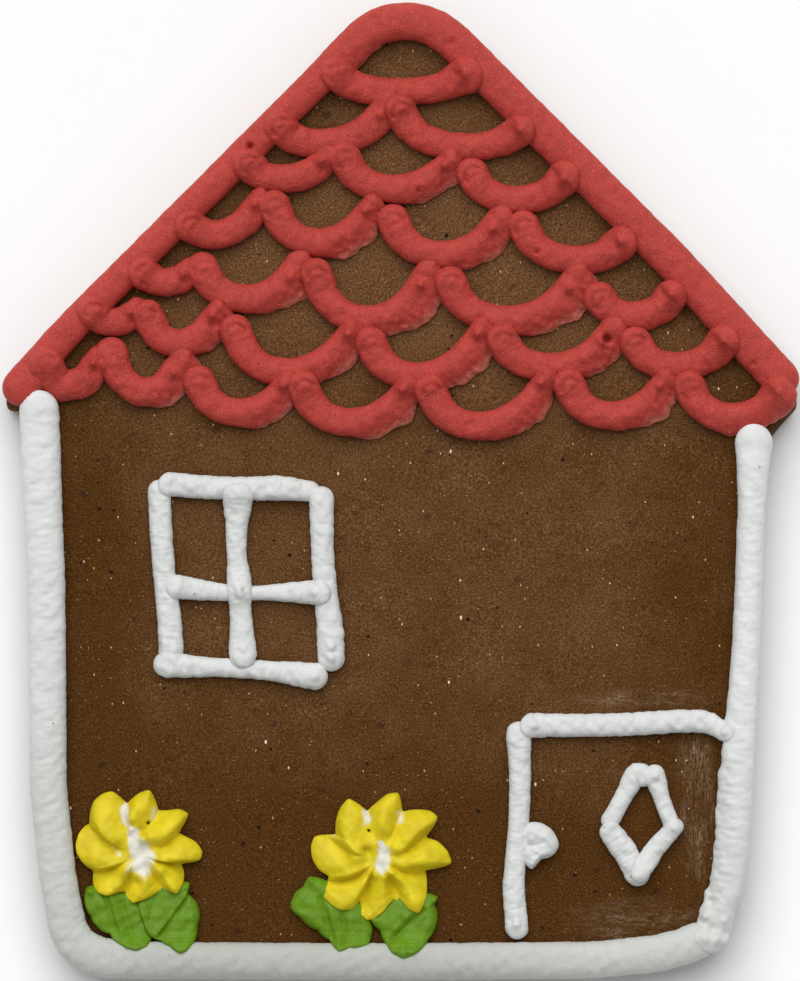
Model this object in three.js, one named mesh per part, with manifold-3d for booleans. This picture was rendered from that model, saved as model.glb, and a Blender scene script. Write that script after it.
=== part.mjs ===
// A gingerbread house cookie: a flat, house-shaped biscuit decorated with piped icing, lying iced side up.
// Red icing runs along the gable and hangs in seven rows of scallops as roof tiles. White icing draws the
// walls, a window and a door, and two yellow flowers with green leaves stand at the foot of the wall.
//
// Millimetres, +Z up. +X points to the house's right and +Y from its foot to its ridge. The plan is drawn from
// the middle of the foot, and the last step moves the origin to the middle of the underside.
import * as THREE from "three";
import Module from "manifold-3d";

const wasm = await Module();
wasm.setup();

// ---------------------------------------------------------------- driving dimensions
const THICKNESS = 6; // rolled and baked dough
const SOLE = THICKNESS; // the plane that all the icing sits on
const RIDGE = { x: 0.9, y: 125.3, radius: 9.3 }; // where the roof slopes would meet if it weren't rounded
const CLEARANCE = 0.3; // gap kept round a line that is pressed into an earlier one
const BED_HEIGHT = 5; // higher than any icing, so that nothing overhangs a pressed line

// Each icing line has the width of its piping nozzle and the height to which it slumps.
const NOZZLES = {
  gable: { width: 4.5, height: 3.1 },
  tile: { width: 3.6, height: 2.6 },
  wall: { width: 4.6, height: 3 },
  rightWall: { width: 3.7, height: 3 },
  trim: { width: 2.9, height: 2.1 },
};
const LEAF_HEIGHT = 2;
const FLOWER_HEIGHT = 3.6;
const FLOWER_HEART = 2.4; // radius of a flower's raised middle

// ---------------------------------------------------------------- finishes
const finish = (color, roughness) => new THREE.MeshStandardMaterial({ color, roughness, metalness: 0 });
const FINISHES = {
  gingerbread: finish("#5a3c22", 0.85),
  redIcing: finish("#bb4844", 0.6),
  whiteIcing: finish("#e2e4e3", 0.55),
  yellowIcing: finish("#e3c92e", 0.5),
  greenIcing: finish("#648f27", 0.5),
};

// ---------------------------------------------------------------- outlines and paths
const v2 = (x, y) => new THREE.Vector2(x, y);
const turned = (x, y, degrees) => v2(x, y).rotateAround(v2(0, 0), THREE.MathUtils.degToRad(degrees));

// An outline or a line with its corners rounded. A corner is [x, y, radius, arc steps], and radius 0 is sharp.
function rounded(corners, closed) {
  const points = [];
  corners.forEach(([x, y, radius, arcSteps = 3], i) => {
    const corner = v2(x, y);
    const isEnd = !closed && (i === 0 || i === corners.length - 1);
    if (isEnd || !radius) {
      points.push(corner);
      return;
    }
    const [bx, by] = corners[(i - 1 + corners.length) % corners.length];
    const [ax, ay] = corners[(i + 1) % corners.length];
    const back = v2(bx, by).sub(corner).normalize();
    const ahead = v2(ax, ay).sub(corner).normalize();
    const bisector = back.clone().add(ahead).normalize();
    const halfAngle = Math.acos(THREE.MathUtils.clamp(back.dot(ahead), -1, 1)) / 2;
    const centre = corner.clone().addScaledVector(bisector, radius / Math.sin(halfAngle));
    const from = corner.clone().addScaledVector(back, radius / Math.tan(halfAngle)).sub(centre);
    const to = corner.clone().addScaledVector(ahead, radius / Math.tan(halfAngle)).sub(centre);
    const turn = Math.atan2(from.cross(to), from.dot(to));
    for (let k = 0; k <= arcSteps; k++) {
      points.push(from.clone().rotateAround(v2(0, 0), (turn * k) / arcSteps).add(centre));
    }
  });
  return points;
}

const LEAST_RADIUS = 0.2; // a round corner stays round however far its outline is moved
// Moves the edges of a closed, anticlockwise outline of such corners inwards by a distance.
function inset(corners, distance) {
  return corners.map(([x, y, radius, arcSteps], i) => {
    const [bx, by] = corners[(i - 1 + corners.length) % corners.length];
    const [ax, ay] = corners[(i + 1) % corners.length];
    const along = v2(x - bx, y - by).normalize();
    const onward = v2(ax - x, ay - y).normalize();
    const inward = v2(-along.y - onward.y, along.x + onward.x).normalize();
    const shift = distance / inward.dot(v2(-along.y, along.x));
    const isConvex = along.cross(onward) > 0;
    const newRadius = radius && Math.max(LEAST_RADIUS, radius + (isConvex ? -distance : distance));
    return [x + inward.x * shift, y + inward.y * shift, newRadius, arcSteps];
  });
}

// A smooth hand-drawn line through a few points, and a line of straight stretches with rounded corners.
const through = (points) => new THREE.SplineCurve(points.map(([x, y]) => v2(x, y)));
function cornered(corners) {
  const points = rounded(corners, false);
  const path = new THREE.CurvePath();
  points.slice(1).forEach((p, i) => path.add(new THREE.LineCurve(points[i], p)));
  return path;
}

// ---------------------------------------------------------------- solids
function solidFrom(vertProperties, triVerts) {
  const mesh = new wasm.Mesh({
    numProp: 3,
    vertProperties: new Float32Array(vertProperties),
    triVerts: new Uint32Array(triVerts),
  });
  return new wasm.Manifold(mesh);
}

function geometryOf(solid) {
  const mesh = solid.getMesh();
  const geometry = new THREE.BufferGeometry();
  geometry.setAttribute("position", new THREE.BufferAttribute(mesh.vertProperties, 3));
  geometry.setIndex(new THREE.BufferAttribute(mesh.triVerts, 1));
  geometry.computeVertexNormals();
  return geometry;
}

// Triangles of the skin between two neighbouring rings of n points, where the first ring starts at an index.
function skin(start, n) {
  return Array.from({ length: n }, (_, k) => {
    const a = start + k;
    const b = start + ((k + 1) % n);
    return [a, b, a + n, b, b + n, a + n];
  }).flat();
}

// Carving can leave crumbs beside the main body, and only the main body is kept.
function mainBody(solid) {
  return solid.decompose().reduce((best, body) => (body.volume() > best.volume() ? body : best));
}

// ---------------------------------------------------------------- piping
// Sections of a line, from the left edge of its sole over the top to the right edge, as [across, up] in shares
// of the half width and the height.
const arch = (points) =>
  Array.from({ length: points }, (_, k) => {
    const angle = (Math.PI * k) / (points - 1);
    return [-Math.cos(angle), Math.sin(angle)];
  });
const ROUND = arch(7);
const SLIM = arch(5);
const PETAL = [[-1, 0], [-0.6, 0.8], [0.15, 1], [1, 0]];
const LEAF = [[-1, 0], [-0.86, 0.7], [-0.45, 1], [0, 0.55], [0.45, 1], [0.86, 0.7], [1, 0]];
const UPRIGHT = [[-1, 0], [-1, 1], [1, 1], [1, 0]];

// The sections that close an end, as [reach past the end in half widths, share of width, share of height].
const ROUND_NOSE = [[Math.SQRT1_2, Math.SQRT1_2, Math.SQRT1_2]];
const UPRIGHT_NOSE = [[Math.SQRT1_2, Math.SQRT1_2, 1], [1, 0.3, 1]];

// The shares of a path where its section is set down: the corners of straight stretches, or even steps.
function sharesOf(path, steps) {
  if (!path.curves) return Array.from({ length: steps + 1 }, (_, i) => i / steps);
  return [0, ...path.getCurveLengths().map((length) => length / path.getLength())];
}

// Carries a section along a flat path. half(t) and height(t) are the line's half width and height at the share
// t of the path, and each end is closed by a nose that reaches half a width past it.
function pipe(path, { section, nose = ROUND_NOSE, half, height, steps }) {
  const positions = [];
  const addRing = (t, [reach, widthShare, heightShare]) => {
    const tangent = path.getTangentAt(t);
    const at = path.getPointAt(t).addScaledVector(tangent, reach * half(t));
    const side = v2(tangent.y, -tangent.x).multiplyScalar(half(t) * widthShare);
    section.forEach(([across, up]) => {
      const z = SOLE + height(t) * heightShare * up;
      positions.push(at.x + side.x * across, at.y + side.y * across, z);
    });
  };
  nose.toReversed().forEach(([reach, ...shares]) => addRing(0, [-reach, ...shares]));
  sharesOf(path, steps).forEach((t) => addRing(t, [0, 1, 1]));
  nose.forEach((ring) => addRing(1, ring));

  const n = section.length;
  const lastRing = positions.length / 3 - n;
  const triangles = [];
  for (let ring = 0; ring < lastRing; ring += n) triangles.push(...skin(ring, n));
  const firstTip = lastRing + n;
  const lastTip = firstTip + 1;
  [0, 1].forEach((t) => {
    const tip = path.getPointAt(t).addScaledVector(path.getTangentAt(t), (2 * t - 1) * half(t));
    positions.push(tip.x, tip.y, SOLE);
  });
  for (let k = 0; k < n; k++) {
    const next = (k + 1) % n;
    triangles.push(next, k, firstTip, lastRing + k, lastRing + next, lastTip);
  }
  return solidFrom(positions, triangles);
}

// The half width of a line along its path, from [share of the path, share of the nozzle's width] stops.
function widthProfile(nozzle, stops) {
  return (t) => {
    const next = Math.max(1, stops.findIndex(([at]) => at >= t));
    const [t0, w0] = stops[next - 1];
    const [t1, w1] = stops[next];
    return (nozzle.width / 2) * THREE.MathUtils.lerp(w0, w1, THREE.MathUtils.smoothstep(t, t0, t1));
  };
}
const EVEN = [[0, 1], [1, 1]];
const HUMP_SPREAD = 0.16; // share of its length over which a line rises to step over another

// The forms a shape is made in: as it is, as the hollow that it leaves in a later line that steps over it, and
// as the upright bed that it presses into an earlier line.
const asPiped = (shape) => shape;
const asHollow = ({ half, height, ...shape }) => ({
  ...shape,
  section: UPRIGHT,
  nose: UPRIGHT_NOSE,
  half: (t) => half(t) + CLEARANCE,
  height: (t) => height(t) + CLEARANCE,
});
const asBed = (shape) => ({ ...asHollow(shape), height: () => BED_HEIGHT });

// The pieces of icing in the order of piping: a name, a finish, and a function that makes the solid in a form.
const laid = [];
function lay(name, material, make, stepsOver) {
  laid.push({ name, material, make, stepsOver });
}

function layLine(name, material, nozzle, path, options = {}) {
  const { section = ROUND, steps, stops = EVEN, hump = 0, stepsOver } = options;
  const half = widthProfile(nozzle, stops);
  const height = (t) => nozzle.height + hump * Math.exp(-(((t - 0.5) / HUMP_SPREAD) ** 2));
  lay(name, material, (form) => pipe(path, form({ section, half, height, steps })), stepsOver);
}

// ---------------------------------------------------------------- biscuit
// The house outline, foot first and anticlockwise.
const HOUSE = [
  [-43, 0.9, 6, 5],
  [32, 0.9, 20],
  [41.2, 4.4, 4.6, 4],
  [43.2, 22.5, 0],
  [44.8, 62, 0],
  [46.4, 67.8, 0.8],
  [49.5, 71.6, 1.4],
  [49.5, 76.7, 1.6],
  [RIDGE.x, RIDGE.y, RIDGE.radius, 7],
  [-49.3, 75.1, 1.4],
  [-49.3, 71.3, 0.8],
  [-46.9, 71, 0.3],
  [-45.8, 60, 0],
  [-45.3, 22.5, 0],
];
// The profile of the edge from the underside up, as [height, inset].
const EDGE = [
  [0, 0.4],
  [0.6, 0],
  [THICKNESS - 1.6, 0],
  [THICKNESS - 0.5, 0.4],
  [THICKNESS, 1.3],
];

function makeBiscuit() {
  const rings = EDGE.map(([, depth]) => rounded(inset(HOUSE, depth), true));
  const n = rings[0].length;
  const lid = (rings.length - 1) * n;
  const positions = rings.flatMap((ring, i) => ring.flatMap((p) => [p.x, p.y, EDGE[i][0]]));
  const triangles = [];
  for (let ring = 0; ring < lid; ring += n) triangles.push(...skin(ring, n));
  THREE.ShapeUtils.triangulateShape(rings[0], []).forEach(([a, b, c]) => triangles.push(a, c, b));
  THREE.ShapeUtils.triangulateShape(rings.at(-1), []).forEach(([a, b, c]) => {
    triangles.push(lid + a, lid + b, lid + c);
  });
  return solidFrom(positions, triangles);
}

// ---------------------------------------------------------------- roof
// The gable line runs from the left eave over the ridge to the right eave.
const GABLE = [
  [-47.5, 74.7, 0],
  [-43, 79.7, 0],
  [-10, 112.7, 0],
  [0.7, 123.3, 8.3, 7],
  [34, 89.9, 0],
  [47.1, 75.6, 0],
];
const GABLE_STOPS = [[0, 1.08], [0.04, 0.83], [0.36, 0.85], [0.46, 1.04], [1, 1.06]];
layLine("gable_line", FINISHES.redIcing, NOZZLES.gable, cornered(GABLE), { stops: GABLE_STOPS });

// Seven rows of tiles, ridge first. A tile is a scallop, given by its middle line as [start x, start y, lowest
// y, end x, end y].
const TILE_ROWS = [
  [[-7.9, 113.2, 111, 7.9, 113]],
  [
    [-14.9, 106.5, 104.6, -2.1, 108.7],
    [0.1, 108.5, 104.2, 14.8, 106.1],
  ],
  [
    [-18.8, 101.8, 100.1, -9.6, 102.5],
    [-6.8, 102.5, 98.9, 5.7, 102.1],
    [9.1, 100.6, 97.5, 20.3, 100.2],
  ],
  [
    [-26, 94.1, 93.1, -18, 97.1],
    [-15.6, 96.5, 92.1, -4, 96.4],
    [-0.8, 94.8, 90.6, 12, 94.4],
    [15.5, 94, 90.1, 27.4, 92.1],
  ],
  [
    [-31.8, 88.2, 87.1, -25.9, 89.5],
    [-24.6, 88.8, 85.1, -13.1, 88.8],
    [-10.4, 88, 82.5, 3, 87.5],
    [6.4, 87, 82.5, 21.6, 87.1],
    [25, 85.1, 83, 33.7, 85.5],
  ],
  [
    [-38.2, 83.4, 82.1, -33, 84],
    [-31.4, 82.8, 79.4, -23.3, 83.1],
    [-20.5, 81, 75.9, -6.6, 80.9],
    [-3.5, 79.4, 75.4, 9.8, 81],
    [12.9, 79.8, 76.6, 26, 80.5],
    [29.5, 79.5, 76.7, 40.2, 79.8],
  ],
  [
    [-44, 77, 74.1, -37.9, 77.8],
    [-36, 78.2, 73.4, -27.8, 76.5],
    [-25, 74.6, 70.9, -14.5, 74.4],
    [-12, 74, 69.7, 0.6, 74],
    [3.9, 73.5, 69.2, 17.8, 74.8],
    [21.2, 74.2, 70.5, 32.6, 74.6],
    [36.2, 74, 70.4, 47, 73.2],
  ],
];
const HEAD_SHIFT = 0.1; // a tile drops steeply from its start ...
const TAIL_SHIFT = 0.25; // ... and rises more gently to its end, as shares of its span
const TILE_STEP = 1.9; // span that is covered by one step
const TILE_STOPS = [[0, 1.12], [0.25, 1], [0.75, 1], [1, 0.92]];

// The middle of a cubic Bezier curve is an eighth of each end and three eighths of each handle, which gives the
// height of the handles that makes the scallop reach its lowest y.
function tilePath([x0, y0, lowest, x1, y1]) {
  const span = x1 - x0;
  const handleY = (lowest - (y0 + y1) / 8) / 0.75;
  const head = v2(x0 + HEAD_SHIFT * span, handleY);
  const tail = v2(x1 - TAIL_SHIFT * span, handleY);
  return new THREE.CubicBezierCurve(v2(x0, y0), head, tail, v2(x1, y1));
}

TILE_ROWS.forEach((row, r) => {
  row.forEach((tile, k) => {
    const steps = Math.round((tile[3] - tile[0]) / TILE_STEP);
    const options = { section: SLIM, steps, stops: TILE_STOPS };
    layLine(`tile_${r + 1}_${k + 1}`, FINISHES.redIcing, NOZZLES.tile, tilePath(tile), options);
  });
});

// ---------------------------------------------------------------- walls
const LEFT_WALL_AND_FOOT = [
  [-45, 71.2, 0],
  [-44.1, 50, 0],
  [-43.9, 24, 0],
  [-42.8, 13.6, 30],
  [-40.9, 2.6, 5.4, 5],
  [0, 2.4, 0],
  [24, 2.6, 0],
  [32, 3.4, 0],
  [35.4, 4.3, 0],
  [38.4, 5.6, 0],
];
const RIGHT_WALL = [
  [44.2, 67.4],
  [43.8, 58],
  [43.4, 46],
  [42.8, 36],
  [42.3, 26],
  [41.7, 16],
  [40.6, 9.5],
  [38.6, 5.6],
];
const RIGHT_WALL_STOPS = [[0, 1.18], [0.12, 0.92], [0.4, 0.94], [0.6, 1.1], [1, 1.3]];
layLine("wall_left_and_foot", FINISHES.whiteIcing, NOZZLES.wall, cornered(LEFT_WALL_AND_FOOT));
layLine("wall_right", FINISHES.whiteIcing, NOZZLES.rightWall, through(RIGHT_WALL), {
  steps: 10,
  stops: RIGHT_WALL_STOPS,
});

// ---------------------------------------------------------------- window and door
// The thin white lines: each one's middle line, the stops of its width, and the steps along it.
const TRIM = {
  window_jamb_left: {
    points: [[-30.1, 61.3], [-29.9, 57], [-29.4, 50], [-28.8, 45], [-28.6, 40.8]],
  },
  window_head: {
    points: [[-28.6, 62], [-24, 61.6], [-19, 61.5], [-14, 61.5], [-10.5, 61]],
  },
  window_jamb_right: {
    points: [[-9.8, 60.2], [-9.7, 54], [-9.4, 49], [-8.8, 45], [-8.6, 40.3]],
    stops: [[0, 1.06], [0.6, 1.02], [1, 1.2]],
  },
  window_sill: {
    points: [[-29.2, 39.5], [-25, 39.2], [-20, 39], [-15, 38.6], [-10.7, 38]],
    stops: [[0, 1.12], [0.35, 0.78], [0.7, 0.84], [1, 1.22]],
  },
  window_transom: {
    points: [[-27.7, 49.2], [-24, 48.7], [-20, 48.3], [-16, 48.5], [-10.2, 48.5]],
    stops: [[0, 1.06], [0.45, 0.62], [0.6, 0.62], [1, 1.16]],
  },
  window_mullion: {
    points: [[-20.2, 60], [-20.2, 55], [-20, 50], [-20.1, 46], [-19.7, 41.2]],
    stops: [[0, 1.22], [0.3, 0.9], [0.55, 1.08], [0.75, 0.98], [1, 1.24]],
    hump: 1.3,
    stepsOver: "window_transom",
  },
  door_jamb: {
    points: [[14.8, 31], [15, 25], [14.8, 19], [14.2, 14], [14.2, 10], [14.6, 6.6]],
    stops: [[0, 1.05], [0.5, 0.86], [1, 1]],
  },
  door_lintel: {
    points: [[16.5, 31.9], [20, 31.9], [24, 31.9], [30, 32.1], [37, 32.5], [39.4, 31.9], [40.6, 30.7]],
    stops: [[0, 1.2], [0.15, 0.98], [0.85, 1], [1, 0.6]],
    steps: 8,
  },
  door_knob: {
    points: [[16.6, 18.3], [18, 18.7], [18.5, 17.5], [17.7, 16.3], [16.5, 15.5]],
    stops: [[0, 0.8], [0.4, 0.84], [1, 0.5]],
    steps: 6,
  },
  diamond_upper_left: {
    points: [[26.1, 19.8], [27.7, 22.6], [29.4, 25.8]],
    stops: [[0, 0.86], [1, 1.02]],
    steps: 3,
  },
  diamond_upper_right: {
    points: [[31.8, 25.6], [32.8, 22.4], [33.8, 19.8]],
    stops: [[0, 0.94], [1, 0.84]],
    steps: 3,
  },
  diamond_lower_left: {
    points: [[26, 18.7], [27.4, 16.4], [29.4, 13.2]],
    stops: [[0, 0.88], [1, 1]],
    steps: 3,
  },
  diamond_lower_right: {
    points: [[34.2, 19], [32.5, 16.7], [30.9, 14.4]],
    stops: [[0, 0.9], [1, 0.86]],
    steps: 3,
  },
};
const TRIM_STEPS = 5; // where the table doesn't say
Object.entries(TRIM).forEach(([name, { points, ...options }]) => {
  const shape = { section: SLIM, steps: TRIM_STEPS, ...options };
  layLine(name, FINISHES.whiteIcing, NOZZLES.trim, through(points), shape);
});

// ---------------------------------------------------------------- leaves
// A leaf is piped from its broad base to its narrower tip, with a furrow along the middle.
const LEAVES = {
  leaf_left_1: { from: [-32.4, 6.4], to: [-38, 10.8], half: 3.1 },
  leaf_left_2: { from: [-29.2, 6.3], to: [-26.9, 10.9], half: 3 },
  leaf_right_1: { from: [-5.8, 6.4], to: [-12.3, 10.4], half: 2.9 },
  leaf_right_2: { from: [-0.8, 5.9], to: [3.4, 9.7], half: 3 },
};
const LEAF_TAPER_START = 0.7;
const LEAF_TIP = 0.45; // width at the tip, as a share of the leaf's
Object.entries(LEAVES).forEach(([name, { from, to, half }]) => {
  const taper = (t) => THREE.MathUtils.smoothstep(t, LEAF_TAPER_START, 1);
  const shape = {
    section: LEAF,
    half: (t) => half * THREE.MathUtils.lerp(1, LEAF_TIP, taper(t)),
    height: () => LEAF_HEIGHT,
    steps: 4,
  };
  const path = new THREE.LineCurve(v2(...from), v2(...to));
  lay(name, FINISHES.greenIcing, (form) => pipe(path, form(shape)));
});

// ---------------------------------------------------------------- flowers
// A flower is one twisted drop of icing. Each petal is [direction in degrees, reach, half width].
const FLOWERS = {
  flower_left: {
    at: v2(-32.8, 16.2),
    petals: [
      [124, 8, 3], [79, 7.8, 2.3], [36, 7.8, 2.2], [-4, 8, 2.3],
      [-47, 7.2, 2.2], [-95, 6.4, 2.1], [-136, 7, 2.4], [176, 7.8, 2.8],
    ],
  },
  flower_right: {
    at: v2(-2.4, 15.9),
    petals: [
      [124, 8, 2.6], [79, 8, 2.4], [33, 8.6, 2.3], [-6, 8.9, 2.3],
      [-54, 8.7, 2.2], [-98, 8.2, 2.2], [-138, 8.2, 2.6], [174, 8.6, 2.7],
    ],
  },
};
const PETAL_SWIRL = 16; // degrees by which a petal's root is turned past its tip
const PETAL_ROOT = 1; // distance of its root from the middle
const PETAL_KNEE = 0.55; // share of its reach where it bends
const PETAL_ROOT_WIDTH = 0.6; // width at its root and at its tip, as shares of the petal's
const PETAL_TIP_WIDTH = 0.7;
const PETAL_ROOT_HEIGHT = 0.86; // height at its root and at its tip, as shares of the flower's
const PETAL_TIP_HEIGHT = 0.66;
const HEART_SPAN = 0.2; // a short stroke, which the ends of the section make a round knob

function petalShape(half) {
  const lerp = THREE.MathUtils.lerp;
  return {
    section: PETAL,
    half: (t) => half * lerp(Math.min(1, PETAL_ROOT_WIDTH + t), PETAL_TIP_WIDTH, t ** 4),
    height: (t) => FLOWER_HEIGHT * lerp(PETAL_ROOT_HEIGHT, PETAL_TIP_HEIGHT, t),
    steps: 3,
  };
}

function makeFlower(at, petals, form) {
  const spot = new THREE.LineCurve(v2(at.x - HEART_SPAN / 2, at.y), v2(at.x + HEART_SPAN / 2, at.y));
  const heart = { section: SLIM, half: () => FLOWER_HEART, height: () => FLOWER_HEIGHT, steps: 1 };
  return petals.reduce((flower, [degrees, reach, half]) => {
    const root = turned(PETAL_ROOT, 0, degrees + PETAL_SWIRL).add(at);
    const knee = turned(PETAL_KNEE * reach, 0, degrees + PETAL_SWIRL).add(at);
    const tip = turned(reach - half * PETAL_TIP_WIDTH, 0, degrees).add(at);
    const path = new THREE.QuadraticBezierCurve(root, knee, tip);
    return flower.add(pipe(path, form(petalShape(half))));
  }, pipe(spot, form(heart)));
}

Object.entries(FLOWERS).forEach(([name, { at, petals }]) => {
  lay(name, FINISHES.yellowIcing, (form) => makeFlower(at, petals, form));
});

// ---------------------------------------------------------------- assembly
const cookie = new THREE.Group();
cookie.name = "gingerbread_house_cookie";

function addPiece(name, material, solid) {
  const mesh = new THREE.Mesh(geometryOf(solid), material);
  mesh.name = name;
  cookie.add(mesh);
}

function areNear(solidA, solidB) {
  const a = solidA.boundingBox();
  const b = solidB.boundingBox();
  return [0, 1, 2].every((axis) => a.min[axis] < b.max[axis] && b.min[axis] < a.max[axis]);
}

// Every piece of icing presses a bed into what was piped before it, with a thin gap around it, apart from the
// one that steps over an earlier line and is hollowed by that line instead.
const beds = laid.map(({ make }) => make(asBed));

function bedded({ name, make, stepsOver }, i) {
  let solid = make(asPiped);
  laid.forEach((other, j) => {
    if (j > i && other.stepsOver !== name && areNear(solid, beds[j])) solid = solid.subtract(beds[j]);
    if (stepsOver === other.name) solid = solid.subtract(other.make(asHollow));
  });
  return mainBody(solid);
}

addPiece("biscuit", FINISHES.gingerbread, makeBiscuit());
laid.forEach((piece, i) => addPiece(piece.name, piece.material, bedded(piece, i)));

const middle = new THREE.Box3().setFromObject(cookie).getCenter(new THREE.Vector3());
cookie.children.forEach((mesh) => mesh.geometry.translate(-middle.x, -middle.y, 0));

export default cookie;
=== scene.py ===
# %% [markdown]
# # A gingerbread house cookie
# The real cookie is rolled gingerbread dough, cut to a house, baked flat and decorated with royal icing from
# piping bags: red lines for the roof, white lines for the walls, window and door, two yellow drop flowers and
# their green leaves. This lesson finishes it as the cookie was made: first the biscuit, then each line of
# icing in the order of piping, because every line lies on what was piped before it.

import bpy
import numpy as np
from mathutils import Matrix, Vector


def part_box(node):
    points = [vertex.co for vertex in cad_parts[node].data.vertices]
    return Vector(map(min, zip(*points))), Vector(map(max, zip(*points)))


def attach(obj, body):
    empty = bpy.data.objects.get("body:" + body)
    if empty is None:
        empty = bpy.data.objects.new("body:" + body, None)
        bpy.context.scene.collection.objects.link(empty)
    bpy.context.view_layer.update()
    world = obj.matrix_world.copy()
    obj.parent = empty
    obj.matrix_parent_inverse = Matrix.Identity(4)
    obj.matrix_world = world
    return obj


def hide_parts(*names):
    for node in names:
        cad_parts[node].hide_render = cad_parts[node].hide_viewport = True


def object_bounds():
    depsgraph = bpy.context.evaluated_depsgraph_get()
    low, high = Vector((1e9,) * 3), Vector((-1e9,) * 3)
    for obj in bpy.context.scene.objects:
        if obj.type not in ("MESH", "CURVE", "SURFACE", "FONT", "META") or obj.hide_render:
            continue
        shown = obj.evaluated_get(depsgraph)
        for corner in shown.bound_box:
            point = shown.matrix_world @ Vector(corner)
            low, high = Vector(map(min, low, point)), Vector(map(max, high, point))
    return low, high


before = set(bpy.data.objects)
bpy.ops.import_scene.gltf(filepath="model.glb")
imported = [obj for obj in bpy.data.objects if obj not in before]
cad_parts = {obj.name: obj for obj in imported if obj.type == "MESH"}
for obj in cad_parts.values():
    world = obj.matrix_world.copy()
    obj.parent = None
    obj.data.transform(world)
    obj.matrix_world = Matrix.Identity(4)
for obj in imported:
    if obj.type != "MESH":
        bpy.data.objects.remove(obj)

cad_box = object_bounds()
print("the construction's box:", [tuple(round(v, 4) for v in corner) for corner in cad_box])

# %% [markdown]
# ## Millimetres, and reading the construction
# Blender measures in metres, but icing is a thing of millimetres, so every shape here is worked out in
# millimetres and only turned into metres when it becomes a mesh. The construction already says where each
# piece lies. Its vertices along the crest of a piped line are exactly that line's middle, so the lines are
# read from it instead of being typed in again.

# %% Reading the construction
MM = 0.001
CREST = 0.02  # a crest vertex is this close to the top of its line


def corners_of(node):
    """All corners of a node of the construction, in millimetres, without doubles."""
    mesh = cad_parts[node].data
    flat = np.empty(3 * len(mesh.vertices))
    mesh.vertices.foreach_get("co", flat)
    return np.unique(np.round(flat.reshape(-1, 3) / MM, 3), axis=0)


def crest_of(node, heading):
    """The crest of a line of icing as (x, y) points, in the order in which the heading meets them."""
    corners = corners_of(node)
    crest = corners[corners[:, 2] > corners[:, 2].max() - CREST, :2]
    return crest[np.argsort(crest @ np.array(heading))]


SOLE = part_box("biscuit")[1].z / MM
EAST, SOUTH, SOUTH_EAST, NORTH_EAST, SOUTH_WEST = (1, 0), (0, -1), (1, -1), (1, 1), (-1, -1)
print(f"the icing sits {SOLE:.1f} mm above the table")

# %% [markdown]
# ## Uneven by nature
# Nothing on a hand-made cookie is quite even. A smooth unevenness of a chosen size can be had from a noise
# library, or simply by adding up many plane waves of random direction and phase. The sum is smooth
# everywhere, is the same on each run, and costs one line of array work.

# %% Unevenness
WAVES = 28
WAVE_LENGTHS = (0.7, 1.7)  # the shortest and longest wave, in shares of the chosen size


def unevenness(points, size, seed):
    """A sum of sine waves with random directions and lengths near `size`, scaled to a spread of 1."""
    random = np.random.default_rng(seed)
    directions = random.normal(size=(WAVES, points.shape[-1]))
    directions /= np.linalg.norm(directions, axis=1, keepdims=True)
    turns = directions * (2 * np.pi / (size * random.uniform(*WAVE_LENGTHS, WAVES)))[:, None]
    phases = random.uniform(0, 2 * np.pi, WAVES)
    return np.sqrt(2 / WAVES) * np.sin(points @ turns.T + phases).sum(axis=-1)


def smoothstep(low, high, value):
    """Rises smoothly from 0 at low to 1 at high."""
    share = np.clip((value - low) / (high - low), 0, 1)
    return share * share * (3 - 2 * share)


def stepped(step, value):
    """A smooth step given as (its full height, where it starts, where it is full)."""
    full, start, end = step
    return full * smoothstep(start, end, value)


print("a quarter of the way up a smooth step it has risen by", smoothstep(0, 1, 0.25))

# %% [markdown]
# ## From rings to a closed skin
# The biscuit and every stroke of icing are the same kind of surface: a stack of closed rings. Each ring is
# joined to the next by four-sided faces, and each end is closed by a fan of triangles on a middle point.
# One function makes them all, so all of them are closed and face outwards.

# %% Skins
def skin_of(rings):
    """Faces over rings[i, j], point j of ring i: quads between rings, and a fan on a pole at each end."""
    count, around = rings.shape[:2]
    number = np.arange(count * around).reshape(count, around)
    beside = np.roll(number, -1, axis=1)
    quads = np.stack([number[:-1], number[1:], beside[1:], beside[:-1]], axis=-1).reshape(-1, 4)
    first_pole = np.full(around, count * around)
    fans = np.concatenate([
        np.stack([first_pole, number[0], beside[0]], axis=-1),
        np.stack([first_pole + 1, beside[-1], number[-1]], axis=-1),
    ])
    points = np.concatenate([rings.reshape(-1, 3), rings[[0, -1]].mean(axis=1)])
    return points, quads, fans


print("three rings of four points are joined by", len(skin_of(np.zeros((3, 4, 3)))[1]), "quads")


# %% Pieces
def make_piece(name, skin, finish, slot, node, **fields):
    """Makes the mesh of a piece, in metres, attaches it to the root body and hides the node it replaces. A
    field is a number at each point.
    """
    points, quads, fans = skin
    mesh = bpy.data.meshes.new(name)
    mesh.vertices.add(len(points))
    mesh.vertices.foreach_set("co", (points * MM).astype(np.float32).ravel())
    mesh.loops.add(quads.size + fans.size)
    mesh.loops.foreach_set("vertex_index", np.concatenate([quads.ravel(), fans.ravel()]).astype(np.int32))
    starts = np.concatenate([np.arange(len(quads)) * 4, quads.size + np.arange(len(fans)) * 3])
    mesh.polygons.add(len(starts))
    mesh.polygons.foreach_set("loop_start", starts.astype(np.int32))
    mesh.update(calc_edges=True)
    mesh.shade_smooth()
    for field, values in fields.items():
        attribute = mesh.attributes.new(field, "FLOAT", "POINT")
        attribute.data.foreach_set("value", np.asarray(values, np.float32))
    mesh.materials.append(finish)
    piece = bpy.data.objects.new(name, mesh)
    bpy.context.scene.collection.objects.link(piece)
    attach(piece, "root")
    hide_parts(node)
    return piece


print("a line of 2.5 mm is", 2.5 * MM, "m wide in its mesh")

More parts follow.
